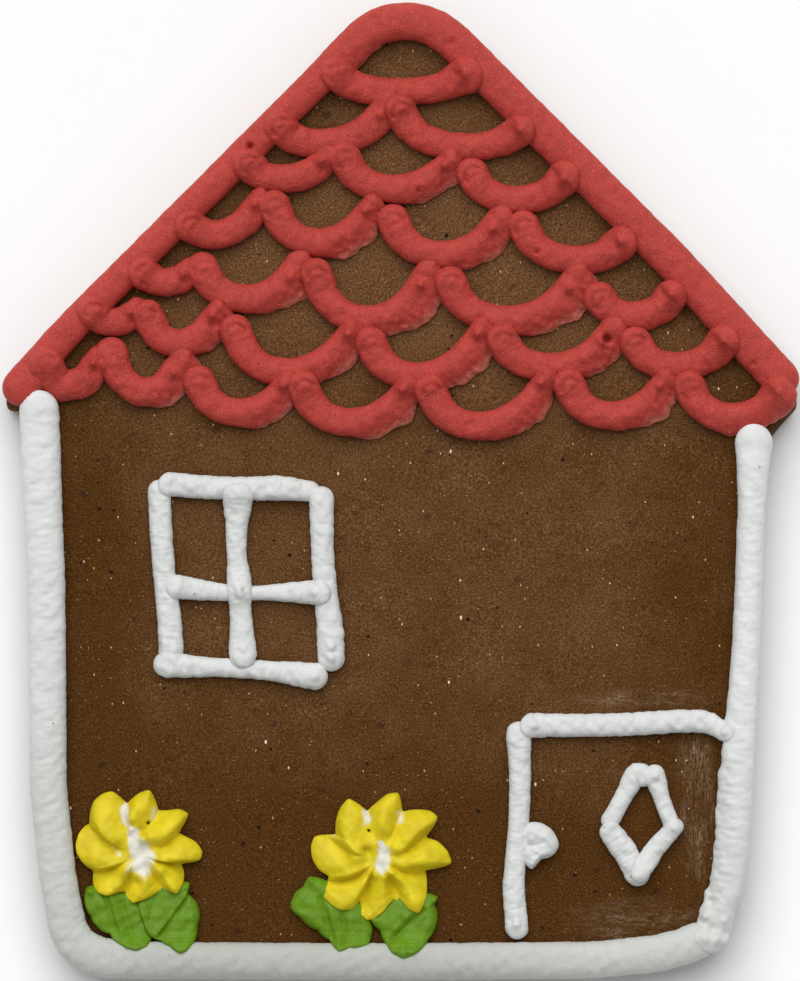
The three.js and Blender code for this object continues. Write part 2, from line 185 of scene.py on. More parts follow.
# %% [markdown]
# ## Mixing finishes
# Every finish is built from a few shader nodes. Two small helpers keep the recipes short: one adds a node and
# fills its inputs, and one blends two colours. Patterns are measured on the cookie itself, in metres, so they
# stay where they are when the camera moves.

# %% Helpers for finishes
def colour(red, green, blue):
    """A shader colour from the 0 to 255 numbers of a paint chart."""
    chart = np.array([red, green, blue]) / 255
    linear = np.where(chart <= 0.04045, chart / 12.92, ((chart + 0.055) / 1.055) ** 2.4)
    return (*linear.tolist(), 1)


def start_finish(name):
    """A new material, its node tree and its main shader."""
    material = bpy.data.materials.new(name)
    material.use_nodes = True
    tree = material.node_tree
    return material, tree, tree.nodes["Principled BSDF"]


def add_node(tree, kind, settings, inputs):
    """Adds a shader node with some settings. An input is given a number, or a socket to be fed from."""
    node = tree.nodes.new(kind)
    for setting, value in settings.items():
        setattr(node, setting, value)
    for place, value in inputs.items():
        if isinstance(value, bpy.types.NodeSocket):
            tree.links.new(value, node.inputs[place])
        else:
            node.inputs[place].default_value = value
    return node


def blend(tree, share, first, second):
    """The first colour where the share is 0 and the second where it is 1."""
    node = add_node(tree, "ShaderNodeMix", {"data_type": "RGBA"}, {0: share, 6: first, 7: second})
    return node.outputs[2]


def ramp(tree, value, low, high):
    """A smooth step from 0 at low to 1 at high."""
    settings = {"interpolation_type": "SMOOTHSTEP"}
    node = add_node(tree, "ShaderNodeMapRange", settings, {"Value": value, "From Min": low, "From Max": high})
    return node.outputs["Result"]


def arithmetic(tree, operation, first, second):
    """One sum with two values, such as ADD or MULTIPLY."""
    return add_node(tree, "ShaderNodeMath", {"operation": operation}, {0: first, 1: second}).outputs[0]


print("mid grey on the paint chart is", round(colour(128, 128, 128)[0], 3), "to the shader")

# %% Patterns and relief, measured on the cookie
EVEN = (1, 1, 1)


def place_on_cookie(tree, squeeze=EVEN):
    """The place on the cookie, in metres. A squeeze below 1 makes a pattern longer along that axis."""
    place = add_node(tree, "ShaderNodeTexCoord", {}, {}).outputs["Object"]
    if squeeze == EVEN:
        return place
    return add_node(tree, "ShaderNodeMapping", {}, {"Vector": place, "Scale": squeeze}).outputs["Vector"]


def grain(tree, size_mm, detail=2.0, roughness=0.5, squeeze=EVEN):
    """Cloudy noise between 0 and 1 with lumps of a size in millimetres."""
    inputs = {"Vector": place_on_cookie(tree, squeeze), "Scale": 1 / (size_mm * MM), "Detail": detail}
    return add_node(tree, "ShaderNodeTexNoise", {}, {**inputs, "Roughness": roughness}).outputs["Fac"]


def spots(tree, spacing_mm, squeeze=EVEN):
    """For scattered spots: the distance to the nearest spot in shares of the spacing, and its own colour."""
    inputs = {"Vector": place_on_cookie(tree, squeeze), "Scale": 1 / (spacing_mm * MM)}
    node = add_node(tree, "ShaderNodeTexVoronoi", {"feature": "F1"}, inputs)
    return node.outputs["Distance"], node.outputs["Color"]


def field(tree, name):
    """A number that the mesh carries at each point."""
    return add_node(tree, "ShaderNodeAttribute", {"attribute_name": name}, {}).outputs["Fac"]


def bump(tree, height, depth_mm, strength=1.0, below=None):
    """A fine relief whose full height is a depth in millimetres, on top of another one if there is one."""
    inputs = {"Height": height, "Distance": depth_mm * MM, "Strength": strength}
    if below is not None:
        inputs["Normal"] = below
    return add_node(tree, "ShaderNodeBump", {}, inputs).outputs["Normal"]


def set_shader(tree, shader, shade, relief, roughness, specular, glow=None):
    """Feeds in colour and relief, and sets the gloss. A glow is a weight, the radii and their scale in mm."""
    tree.links.new(shade, shader.inputs["Base Color"])
    tree.links.new(relief, shader.inputs["Normal"])
    shader.inputs["Roughness"].default_value = roughness
    shader.inputs["Specular IOR Level"].default_value = specular
    if glow:
        weight, radii, scale_mm = glow
        shader.inputs["Subsurface Weight"].default_value = weight
        shader.inputs["Subsurface Radius"].default_value = radii
        shader.inputs["Subsurface Scale"].default_value = scale_mm * MM


print("a grain of 0.25 mm is a noise with a scale of", round(1 / (0.25 * MM)), "to the metre")

# %% [markdown]
# ## Gingerbread
# Baked gingerbread is a matt, dense brown, darker and redder towards its edges. Ground spice and sugar show
# as sparse pale specks, burst bubbles as small pits painted dark as the shade inside them, and the whole
# surface has a sandy grain. Each of these is its own layer of noise or spots, and the grain and the pits
# also go into the bump.

# %% Colours, specks and smudges
CRUMB_LIGHT = colour(134, 101, 70)
CRUMB = colour(103, 70, 40)
CRUMB_DARK = colour(72, 42, 15)
# The darkest the crumb gets: by a real bake at the rim, and by painted shade towards the foot and the left.
BAKED_AND_SHADED = (0.52, 0.41, 0.1, 1)  # the share of each colour that the dark bake leaves
SUGAR_SPECK = colour(214, 182, 138)
SUGAR_CRYSTAL = colour(236, 222, 196)
BURNT_AND_PIT_SHADE = colour(36, 20, 12)
DUST = colour(160, 138, 114)
PINK_SMEAR = colour(160, 90, 74)
SAND, BLOTCH, CLOUD = 0.24, 1.5, 7.0  # mm: the sizes of the sandy grain, of blotches and of broad clouds
BLOTCH_STRENGTH, CLOUD_STRENGTH = 0.3, 1.2
# The range runs from the palest to the darkest bake and painted shade.
BAKE_AND_SHADE_RANGE = (-0.25, 1.1)  # from unbaked to fully baked
FINE_STREAK, PATCHY_STREAK = 0.25, 1.2  # mm: the sizes of the two noises in a smudge
# Kinds of spots, as (spacing in mm, radius in shares of it, share of the places, squeeze).
SPECKS, DUST_SPECKS = (1.2, 0.15, 0.5, (1.6, 1, 1)), (0.7, 0.16, 0.7, (1, 1.5, 1))
CRYSTALS, BURNT = (2.6, 0.12, 0.3, (1.7, 1, 1)), (3.4, 0.24, 0.6, (1, 1.3, 1))
BUBBLES = (2.0, 0.15, 0.4)
BURNT_STRENGTH = 0.5
SOFT_RIM = 0.4  # the share of its radius over which a spot fades


def multiply(tree, share, first, second):
    """The product of two colours, mixed in by a share."""
    settings = {"data_type": "RGBA", "blend_type": "MULTIPLY"}
    return add_node(tree, "ShaderNodeMix", settings, {0: share, 6: first, 7: second}).outputs[2]


def rare_spots(tree, spacing_mm, radius, share, squeeze=EVEN):
    """Round soft spots of a radius, in shares of the spacing, on only a share of the places."""
    distance, own_colour = spots(tree, spacing_mm, squeeze)
    chance = add_node(tree, "ShaderNodeSeparateColor", {}, {"Color": own_colour})
    size = arithmetic(tree, "MULTIPLY", chance.outputs[1], radius)
    inside = arithmetic(tree, "LESS_THAN", chance.outputs[0], share)
    near = ramp(tree, arithmetic(tree, "SUBTRACT", size, distance), 0.0, radius * SOFT_RIM)
    return arithmetic(tree, "MULTIPLY", near, inside)


def smudged(tree, crumb, name, tint, squeeze=EVEN):
    """Blends in a tint where a field of the biscuit and a fine streaky noise both say so."""
    fine = ramp(tree, grain(tree, FINE_STREAK, detail=3, roughness=0.7, squeeze=squeeze), 0.35, 0.75)
    patchy = ramp(tree, grain(tree, PATCHY_STREAK, detail=4, roughness=0.7, squeeze=squeeze), 0.35, 0.7)
    share = arithmetic(tree, "MULTIPLY", arithmetic(tree, "MULTIPLY", fine, patchy), field(tree, name))
    return blend(tree, share, crumb, tint)


print("a full bake leaves", BAKED_AND_SHADED[:3], "of the crumb's red, green and blue")


# %% The finish of the biscuit
def sandy_crumb(tree, sand):
    """Dark, middle and light crumbs, as the sandy grain has them."""
    crumb = blend(tree, ramp(tree, sand, 0.28, 0.5), CRUMB_DARK, CRUMB)
    return blend(tree, ramp(tree, sand, 0.5, 0.7), crumb, CRUMB_LIGHT)


def bake(tree, crumb):
    """Darkens the crumb by the field of bake and painted shade, made uneven by clouds and small blotches."""
    cloudy = grain(tree, CLOUD, detail=5, roughness=0.62)
    mottled = arithmetic(tree, "MULTIPLY", arithmetic(tree, "SUBTRACT", cloudy, 0.5), CLOUD_STRENGTH)
    blotches = ramp(tree, grain(tree, BLOTCH, detail=3, roughness=0.6), 0.5, 0.75)
    mottled = arithmetic(tree, "ADD", mottled, arithmetic(tree, "MULTIPLY", blotches, BLOTCH_STRENGTH))
    baked = arithmetic(tree, "ADD", field(tree, "baked"), mottled)
    return multiply(tree, ramp(tree, baked, *BAKE_AND_SHADE_RANGE), crumb, BAKED_AND_SHADED)


def gingerbread_finish():
    """A crumb baked and painted in shade, under dust, a pink smear, specks, burnt spots and pits painted dark
    as shade.
    """
    material, tree, shader = start_finish("gingerbread")
    sand = grain(tree, SAND, detail=2, roughness=0.6)
    crumb = bake(tree, sandy_crumb(tree, sand))
    crumb = smudged(tree, crumb, "dust_across", DUST, squeeze=(0.25, 1, 1))
    crumb = smudged(tree, crumb, "dust_down", DUST, squeeze=(1, 0.2, 1))
    crumb = smudged(tree, crumb, "smear", PINK_SMEAR)
    for kind, tint in [(SPECKS, SUGAR_SPECK), (DUST_SPECKS, DUST), (CRYSTALS, SUGAR_CRYSTAL)]:
        crumb = blend(tree, rare_spots(tree, *kind), crumb, tint)
    burnt = arithmetic(tree, "MULTIPLY", rare_spots(tree, *BURNT), BURNT_STRENGTH)
    # The bubbles are dented by the bump and painted dark as the shade inside the pits; burnt spots are really
    # dark.
    bubbles = rare_spots(tree, *BUBBLES)
    crumb = blend(tree, bubbles, blend(tree, burnt, crumb, BURNT_AND_PIT_SHADE), BURNT_AND_PIT_SHADE)
    relief = bump(tree, bubbles, -0.2, below=bump(tree, sand, 0.06))
    set_shader(tree, shader, crumb, relief, roughness=0.85, specular=0.15)
    return material


GINGERBREAD = gingerbread_finish()
print("the gingerbread finish has", len(GINGERBREAD.node_tree.nodes), "nodes")

# %% [markdown]
# ## Royal icing
# Royal icing dries matt and slightly see-through, so light wanders a little way into it and softens the
# creases. One recipe serves red, white and green: a body colour, a greyer one where the icing is thin and
# for painted shade, a pale tint for a film that was dragged along the biscuit, a fine grain over shallow
# wrinkles, and a few pin-holes from air in the bag, painted darker as the shade inside them.

# %% The recipe of the icing
FINE, WRINKLE, BROAD = 0.22, 0.7, 1.6  # mm: the sizes of the fine grain, of wrinkles and of broad patches
PIN_HOLES = (1.6, 0.1, 0.2)  # a kind of spots, as in the crumb
HOLE_DEPTH = 0.12  # mm


def icing_finish(name, body, thin_and_shade, film, hole_shade, glow, glow_scale, wrinkles, grit, roughness=0.6):
    """The body's three colours, those of thin icing and painted shade, a film and a hole's shade, and how
    light wanders in it.
    """
    material, tree, shader = start_finish(name)
    fine = grain(tree, FINE, detail=3, roughness=0.65)
    wrinkled = grain(tree, WRINKLE, detail=4, roughness=0.6)
    shade = blend(tree, ramp(tree, grain(tree, BROAD, detail=3), 0.3, 0.7), body[0], body[1])
    shade = blend(tree, ramp(tree, fine, 0.45, 0.8), shade, body[2])
    # Painted shade: this field greys white icing towards the foot and the left and on the finer strokes,
    # partly thin icing there
    shade = blend(tree, field(tree, "thin_and_shade"), shade, thin_and_shade)
    torn = arithmetic(tree, "ADD", field(tree, "film"), arithmetic(tree, "SUBTRACT", wrinkled, 0.5))
    shade = blend(tree, ramp(tree, torn, 0.3, 1.1), shade, film)
    # The pin-holes are dented by the bump and painted darker, as the shade inside them.
    holes = rare_spots(tree, *PIN_HOLES)
    shade = blend(tree, holes, shade, hole_shade)
    relief = bump(tree, fine, grit, below=bump(tree, wrinkled, wrinkles))
    relief = bump(tree, holes, -HOLE_DEPTH, below=relief)
    set_shader(tree, shader, shade, relief, roughness, specular=0.25, glow=(0.2, glow, glow_scale))
    return material


print("the icing mixes lumps of", FINE, "mm,", WRINKLE, "mm and", BROAD, "mm")

# %% Red, white and green icing
RED_ICING = icing_finish(
    "red_icing",
    body=(colour(171, 57, 48), colour(184, 63, 55), colour(206, 90, 81)),
    thin_and_shade=colour(150, 44, 36),
    film=colour(198, 116, 100),
    hole_shade=colour(120, 30, 26),
    glow=(1.0, 0.3, 0.25),
    glow_scale=0.3,
    wrinkles=0.18,
    grit=0.1,
)
WHITE_ICING = icing_finish(
    "white_icing",
    body=(colour(219, 221, 220), colour(226, 228, 227), colour(231, 233, 232)),
    thin_and_shade=colour(152, 154, 142),
    film=colour(160, 150, 134),
    hole_shade=colour(160, 162, 164),
    glow=(1.0, 0.95, 0.9),
    glow_scale=0.5,
    wrinkles=0.07,
    grit=0.05,
)
GREEN_ICING = icing_finish(
    "green_icing",
    body=(colour(92, 130, 14), colour(102, 142, 18), colour(112, 152, 26)),
    thin_and_shade=colour(84, 120, 16),
    film=colour(120, 160, 50),
    hole_shade=colour(60, 98, 20),
    glow=(0.6, 1.0, 0.2),
    glow_scale=0.4,
    wrinkles=0.08,
    grit=0.03,
    roughness=0.5,
)
print("the red icing has", len(RED_ICING.node_tree.nodes), "nodes")

# %% The finish of the flowers
YELLOW, BRIGHT_YELLOW, CREAM = colour(206, 185, 22), colour(224, 204, 34), colour(226, 224, 212)
RAGGED, RAGGED_SIZE = 0.7, 1.4  # how much the rim of a white streak wavers, and over how many mm


def flower_finish():
    """Yellow icing streaked with white where the two ran together in the bag."""
    material, tree, shader = start_finish("yellow_icing")
    yellow = blend(tree, ramp(tree, grain(tree, 2.0), 0.3, 0.7), YELLOW, BRIGHT_YELLOW)
    centred = arithmetic(tree, "SUBTRACT", grain(tree, RAGGED_SIZE), 0.5)
    waver = arithmetic(tree, "MULTIPLY", centred, RAGGED)
    ragged_white = arithmetic(tree, "ADD", field(tree, "white"), waver)
    streaked = blend(tree, ramp(tree, ragged_white, 0.3, 0.7), yellow, CREAM)
    dents = bump(tree, grain(tree, 0.8, detail=2), 0.05)
    relief = bump(tree, grain(tree, 0.3, detail=2), 0.015, below=dents)
    glow = (0.25, (1.0, 0.8, 0.1), 0.5)
    set_shader(tree, shader, streaked, relief, roughness=0.5, specular=0.22, glow=glow)
    return material


YELLOW_ICING = flower_finish()
ICINGS = (RED_ICING, WHITE_ICING, GREEN_ICING, YELLOW_ICING)
print("finishes of icing:", *(icing.name for icing in ICINGS))

# %% [markdown]
# ## The lie of the land
# Each line of icing rests on the biscuit and on the lines before it. To know how high the ground is at any
# spot, a height map is kept: a square grid over the cookie that every finished surface raises to its own
# height. Reading the map under a new line tells how far it must climb, and where its skin meets an older one.

# %% The height map
CELL = 0.1  # mm
MARGIN = 3.0  # mm of map around the cookie
TABLE = 0.0
WHOLE_CELL = 1.001  # a reading needs its own cell and the next one
DENSE = 0.8  # cells between the points that a surface is filled in with
low_corner = np.array(cad_box[0][:2]) / MM - MARGIN
map_size = np.ceil((np.array(cad_box[1][:2]) / MM + MARGIN - low_corner) / CELL).astype(int)
ground = np.full(map_size, TABLE)


def ground_at(points):
    """The height of the ground under (x, y) points, evened out between the four nearest cells of the map."""
    cell = np.clip((points[..., :2] - low_corner) / CELL - 0.5, 0, map_size - WHOLE_CELL)
    corner = cell.astype(int)
    x_share, y_share = (cell - corner)[..., 0], (cell - corner)[..., 1]
    x, y = corner[..., 0], corner[..., 1]
    west = ground[x, y] * (1 - y_share) + ground[x, y + 1] * y_share
    east = ground[x + 1, y] * (1 - y_share) + ground[x + 1, y + 1] * y_share
    return west * (1 - x_share) + east * x_share


def finer(rows, parts):
    """Puts evenly spread rows between neighbouring rows of points."""
    share = (np.arange(parts) / parts)[:, None, None]
    between = rows[:-1, None] * (1 - share) + rows[1:, None] * share
    return np.concatenate([between.reshape(-1, *rows.shape[1:]), rows[-1:]])


def raise_ground(surface):
    """Raises the map to a grid of surface points, filled in so densely that it leaves no cell out."""
    along, across = (np.linalg.norm(np.diff(surface[..., :2], axis=axis), axis=-1).max() for axis in (0, 1))
    dense = finer(surface, int(np.ceil(along / (CELL * DENSE))))
    dense = finer(dense.transpose(1, 0, 2), int(np.ceil(across / (CELL * DENSE))))
    points = dense.reshape(-1, 3)
    cell = np.clip(((points[:, :2] - low_corner) / CELL).astype(int), 0, map_size - 1)
    np.maximum.at(ground, (cell[:, 0], cell[:, 1]), points[:, 2])


print("the height map has", ground.size, "cells")

# %% [markdown]
# ## The biscuit
# Rolled dough has a flat underside, a straight cut side that bulges a little in the oven, and a top edge that
# rounds over. That is one profile carried round the outline of the house. Rings run from the middle of the
# underside outwards, up the side and back to the middle of the top, always towards one point that sees the
# whole outline, so they never cross. A gentle unevenness keeps the top from looking machined.

# %% The outline of the house
OUTLINE_HEIGHT = 0.6  # where the construction's outline is widest
HEART = np.array([0.0, 12.0])  # every point of the outline can be seen from here
AROUND = 720
STEEPEST = 0.5  # an inset is measured square to the edge, but is never stretched more than twice


def in_order(keys, values):
    """The keys from small to large, and their values."""
    order = np.argsort(keys)
    return keys[order], values[order]


def outline_of_the_house():
    """Even points on the outline, clockwise, and the step inwards that is 1 mm square to the edge."""
    corners = corners_of("biscuit")
    rim = corners[np.abs(corners[:, 2] - OUTLINE_HEIGHT) < CREST, :2]
    rim = rim[np.argsort(-np.arctan2(*(rim - HEART).T[::-1]))]
    rim = np.concatenate([rim, rim[:1]])
    along = np.concatenate([[0], np.cumsum(np.linalg.norm(np.diff(rim, axis=0), axis=1))])
    even = np.linspace(0, along[-1], AROUND, endpoint=False)
    outline = np.stack([np.interp(even, along, rim[:, 0]), np.interp(even, along, rim[:, 1])], axis=1)
    tangent = np.roll(outline, -1, axis=0) - np.roll(outline, 1, axis=0)
    square = np.stack([tangent[:, 1], -tangent[:, 0]], axis=1)
    square /= np.linalg.norm(tangent, axis=1, keepdims=True)
    inward = (HEART - outline) / np.linalg.norm(HEART - outline, axis=1, keepdims=True)
    facing = np.abs((inward * square).sum(axis=1, keepdims=True))
    return outline, inward / np.maximum(facing, STEEPEST)


outline, inward = outline_of_the_house()
print(f"the outline is {np.linalg.norm(outline - np.roll(outline, 1, axis=0), axis=1).sum():.0f} mm long")

# %% The biscuit's surface
UNDERSIDE_RINGS = 20
TOP_RINGS = 94
UNDER_POLE, TOP_POLE = 0.01, 0.004  # the size of the last ring round each pole, as a share of the outline
# How uneven the dough is, as (height, size) in mm: the warp and shiver of its top, the wobble of its side.
WARP, SHIVER, WOBBLE = (0.05, 14), (0.02, 2.2), (0.05, 3.0)
SETTLED = 0.6  # mm above the tray over which the wobble of the side sets in
# The profile of the edge as [height, inset], from the underside up.
EDGE = np.array([
    [0.0, 0.7], [0.12, 0.3], [0.6, 0.05], [1.6, -0.08], [3.0, -0.1], [4.2, 0.0],
    [4.9, 0.2], [5.4, 0.5], [5.75, 0.95], [5.93, 1.5], [6.0, 2.3],
])


def level_rings(outline, inward):
    """P = outline + inset * inward on the edge, and outline moved towards the heart by a share elsewhere."""
    side = outline + EDGE[:, 1, None, None] * inward
    under_share = np.linspace(UNDER_POLE, 1, UNDERSIDE_RINGS, endpoint=False)[:, None, None]
    top_share = np.linspace(1, TOP_POLE, TOP_RINGS + 1)[1:, None, None]
    plan = np.concatenate([
        HEART + (side[0] - HEART) * under_share, side, HEART + (side[-1] - HEART) * top_share,
    ])
    height = np.concatenate([np.zeros(UNDERSIDE_RINGS), EDGE[:, 0], np.full(TOP_RINGS, EDGE[-1, 0])])
    rings = np.concatenate([plan, np.broadcast_to(height[:, None, None], (*plan.shape[:2], 1))], axis=-1)
    rings[..., 2] *= SOLE / EDGE[-1, 0]
    return rings


def biscuit_rings(outline, inward):
    """The level rings, warped by the oven: upwards the more the higher they are, sideways on the edge."""
    rings = level_rings(outline, inward)
    (warp, warp_size), (shiver, shiver_size), (wobble, wobble_size) = WARP, SHIVER, WOBBLE
    rise = warp * unevenness(rings, warp_size, seed=1) + shiver * unevenness(rings, shiver_size, seed=2)
    rings[..., 2] += smoothstep(0, SOLE, rings[..., 2]) * rise
    sideways = wobble * unevenness(rings, wobble_size, seed=3) * smoothstep(0, SETTLED, rings[..., 2])
    rim = slice(UNDERSIDE_RINGS, UNDERSIDE_RINGS + len(EDGE))
    rings[rim, :, :2] -= sideways[rim, :, None] * inward
    return rings


biscuit = biscuit_rings(outline, inward)
print("the biscuit has", biscuit.shape[0], "rings of", biscuit.shape[1], "points")

# %% The biscuit on the height map
WIDEST = 4  # the place of the widest height in the profile


def biscuit_ground(outline, inward):
    """The height of each cell: the edge's profile, read at (outline's reach - distance) / |inward|."""
    places = low_corner + (np.stack(np.indices(ground.shape), axis=-1) + 0.5) * CELL - HEART
    bearing = np.arctan2(places[..., 1], places[..., 0])
    spokes = outline - HEART
    spoke_bearing = np.arctan2(spokes[:, 1], spokes[:, 0])
    reach = np.interp(bearing, *in_order(spoke_bearing, np.hypot(*spokes.T)), period=2 * np.pi)
    stretch = np.interp(bearing, *in_order(spoke_bearing, np.hypot(*inward.T)), period=2 * np.pi)
    inset = (reach - np.hypot(places[..., 0], places[..., 1])) / stretch
    return np.interp(inset, EDGE[WIDEST:, 1], EDGE[WIDEST:, 0], left=TABLE)


ground[:] = biscuit_ground(outline, inward)
print(f"the biscuit covers {(ground > TABLE).sum() * CELL**2 / 100:.0f} square centimetres")

# %% [markdown]
# ## The piped line
# A line of royal icing leaves the nozzle as a round rope and slumps to a low dome, a little wider above its
# sole than on it. So its surface is a flattened ring carried along the middle line. At each end the rings
# shrink like those of a ball. Where the ground is higher, the rope climbs, but less than the full height,
# because soft icing sinks into soft icing.

# %% Smooth paths
STEP = 0.2  # mm between rings
CORNER = 1.5  # mm over which a curve rounds its corners


def evenly(points, step):
    """The same polyline with points at even steps."""
    along = np.concatenate([[0], np.cumsum(np.linalg.norm(np.diff(points, axis=0), axis=1))])
    even = np.linspace(0, along[-1], max(2, int(round(along[-1] / step)) + 1))
    return np.stack([np.interp(even, along, points[:, k]) for k in range(points.shape[1])], axis=1)


def softened(values, reach):
    """A running average with a bell-shaped weight, `reach` places wide, that keeps the ends."""
    places = np.arange(-3 * int(np.ceil(reach)), 3 * int(np.ceil(reach)) + 1)
    weights = np.exp(-((places / reach) ** 2) / 2)
    weights /= weights.sum()
    half = len(places) // 2
    before, after = (np.repeat(end, half, axis=0) for end in (values[:1], values[-1:]))
    longer = np.concatenate([before, values, after])
    if values.ndim == 1:
        return np.convolve(longer, weights, mode="valid")
    return np.stack([np.convolve(column, weights, mode="valid") for column in longer.T], axis=1)


def curve_through(points):
    """A smooth curve near the points, by softening a finely divided polyline, with its ends kept in place."""
    fine = evenly(np.asarray(points, float), STEP)
    soft = softened(fine, CORNER / STEP / 2)
    from_end = np.minimum(np.arange(len(fine)), np.arange(len(fine))[::-1])
    return evenly(fine + (soft - fine) * smoothstep(0, 2 * CORNER / STEP, from_end)[:, None], STEP)


corner_turn = curve_through([(0, 0), (5, 0), (5, 5)])
print(f"a curve round a corner of 5 and 5 mm is {(len(corner_turn) - 1) * STEP:.1f} mm long")

# %% Widths and directions along a path
EASE = 3.0  # steps over which the values at the stops of a line run into each other


def stops(line, *pairs):
    """Values along a line from (share of its length, value) pairs, eased between them."""
    share = np.linspace(0, 1, len(line))
    at, value = np.array(pairs, float).T
    return softened(np.interp(share, at, value), EASE)


def nudged(line, *steps):
    """The line, moved by (x, y) in mm from (share of its length, x, y) stops."""
    moves = [stops(line, *[(at, move[axis]) for at, *move in steps]) for axis in (0, 1)]
    return line + np.stack(moves, axis=1)


def directions_along(line):
    """The unit direction at each point of a line, and the one to its right."""
    tangent = np.gradient(line, axis=0)
    tangent /= np.linalg.norm(tangent, axis=1, keepdims=True)
    return tangent, np.stack([tangent[:, 1], -tangent[:, 0]], axis=1)


def lengthened(line, before, after):
    """The line, carried straight on by some mm before its start and after its end."""
    tangent, _ = directions_along(line)
    ahead = line[0] - tangent[0] * np.arange(before, 0, -STEP)[:, None]
    behind = line[-1] + tangent[-1] * np.arange(after, 0, -STEP)[::-1, None]
    return np.concatenate([ahead, line, behind])


print(f"between stops of 1 and 2 a line has {stops(corner_turn, (0, 1), (1, 2)).mean():.1f} on average")

# %% [markdown]
# ## How icing feels
# Even smooth icing has a feel: broad dents from the hand, cross ripples from its tremble, and here and there
# a small dimple where a bubble burst. Each icing gets its own three numbers. The profile of a line says how
# its height falls from the crest to the sides: plainly like a dome, or like one side of a tent where the
# icing was dragged out into a skirt.

# %% Feel
RIPPLE_WIDTH = 1.6  # mm round the rope
DIMPLE_SIZE = (0.9, 0.45)  # mm along and round the rope
RARE = (1.7, 2.6)  # the heights of an unevenness between which a dimple starts and is full


def feel_of(dent, dent_size, ripple, ripple_step, dimple):
    """How deep the dents, the cross ripples and the dimples are, in shares of the rope's half width."""
    def feel(plan, along, angle, half, seed):
        """The sum of the three at each point of a rope."""
        def stretched(length, width):
            """The place along and round the rope, in lengths and widths of one mark."""
            return np.stack([along / length + 0 * angle, half * angle / width], axis=-1)

        return (
            dent * unevenness(plan, dent_size, seed)
            + ripple * unevenness(stretched(ripple_step, RIPPLE_WIDTH), 1.0, seed + 1)
            - dimple * smoothstep(*RARE, unevenness(stretched(*DIMPLE_SIZE), 1.0, seed + 2))
        )
    return feel


GABLE_FEEL = feel_of(dent=0.016, dent_size=2.4, ripple=0.006, ripple_step=0.7, dimple=0.04)
RED_FEEL = feel_of(dent=0.026, dent_size=1.9, ripple=0.01, ripple_step=0.7, dimple=0.05)
WALL_FEEL = feel_of(dent=0.018, dent_size=2.0, ripple=0.01, ripple_step=0.8, dimple=0.05)
TRIM_FEEL = feel_of(dent=0.036, dent_size=1.5, ripple=0.02, ripple_step=0.5, dimple=0.04)
trial = np.linspace(0, 20, 101)
swelling = TRIM_FEEL(np.stack([trial, 0 * trial], axis=1), trial, 0 * trial, 1.0, seed=1)
print(f"along 20 mm a fine line swells and shrinks by {swelling.std():.3f} of its half width")

# %% The profile
DOME_POWER, TENT_POWER = 0.95, 0.85
RIDGE = 0.1  # how far from the crest, as a share of the way out, the ridge of a tent is rounded


def crown_of(up, reach_share, skirted):
    """The height over the widest part as a share of its most: a dome, or a tent on a side with a skirt.

    The dome is sin(angle) ^ DOME_POWER. The tent is (1 - q) ^ TENT_POWER, with q the share of the way out.
    """
    eased = np.sqrt(reach_share**2 + RIDGE**2) - RIDGE
    tent = np.clip(1 - eased, 0, 1) ** TENT_POWER
    return np.abs(up) ** DOME_POWER * (1 - skirted) + tent * skirted


print("half way up a dome its crown is at", round(float(crown_of(0.5, 0.5, 0)), 2), "and a tent's at",
      round(float(crown_of(0.5, 0.5, 1)), 2))


# %% The measures of a rope
ROPE_AROUND = 44
NOSE_RINGS = 8
AXIS = 0.4  # the height of the rope's widest part, as a share of its height
CLIMB = 0.5  # the share of a step in the ground that the rope climbs
EMBED = 0.12  # mm that a rope reaches into the ground, so that no gap shows
SAG = 1.6  # mm that a rope may hang over the rounded edge of the biscuit
SEAM = 0.22  # mm over which two skins of icing run into each other
CLIMB_REACH = 0.8  # mm over which a climb is evened out
TUCK = 0.2  # the share of its half width that a rope draws in towards its sole
EDGE_FEEL = 0.5  # how much of the unevenness shows in the plan of a rope's edges
CROWN_FEEL = 1.3  # how much of it shows in the height of its crown
DRAGGED, DRAGGED_SIZE = 0.12, 0.8  # mm: how high and how large the wrinkles in a dragged skirt are
SKIRT_RANGE = (0.1, 1.1)  # mm of skirt between which a rope's side turns into a tent
TENT_SHARE = 0.7  # how much of a tent the side under a full skirt is
NEARLY = 0.98  # a nose ends just short of a point, so that its last ring still has a size
# Towards the edge of a full skirt the widest height comes down: by these shares of the climb and of itself.
LOW_CLIMB, LOW_AXIS = 0.5, 0.85
FULLNESS = 0.9  # under 1, the sides of a rope are fuller than a circle's
KEEL_POWER = 0.5  # how steeply the underside falls away from the widest height
LEAST_KEEL = 0.1  # mm from the widest height down to the ground, at the least
print("over a step of 1 mm a rope climbs by", CLIMB, "mm")


# %% Seams, torn edges and noses
def seamed(height, older, seam=SEAM):
    """Lets a skin run into an older one: with h = seam - |height - older| it rises by h * h / (4 * seam)."""
    step = height - older
    fillet = np.maximum(seam - np.abs(step), 0) ** 2 / (4 * seam)
    merged = np.maximum(height, older) + fillet
    sinking = older + 2 * (step + seam)
    near = np.where(step > -seam, merged, np.maximum(sinking, height))
    return np.where((step > seam) | (step < -2 * seam), height, near)


TEARS = [(0.04, 0.9), (0.14, 2.6)]  # fine and broad tears in a skirt's edge, as (share, size in mm)
TORN_RANGE = (0.4, 1.8)  # the least and the most of its width that a skirt has


def ragged(count, seed):
    """Shares around 1 along a line, for the torn edge of a skirt."""
    places = STEP * np.arange(count)[:, None] * [1.0, 0.0]
    tears = [share * unevenness(places, size, seed + 6 + k) for k, (share, size) in enumerate(TEARS)]
    return np.clip(sum(tears, 1), *TORN_RANGE)


def padded(values):
    """Repeats the first and last value of a line for its noses."""
    return np.pad(values, NOSE_RINGS, mode="edge")[:, None]


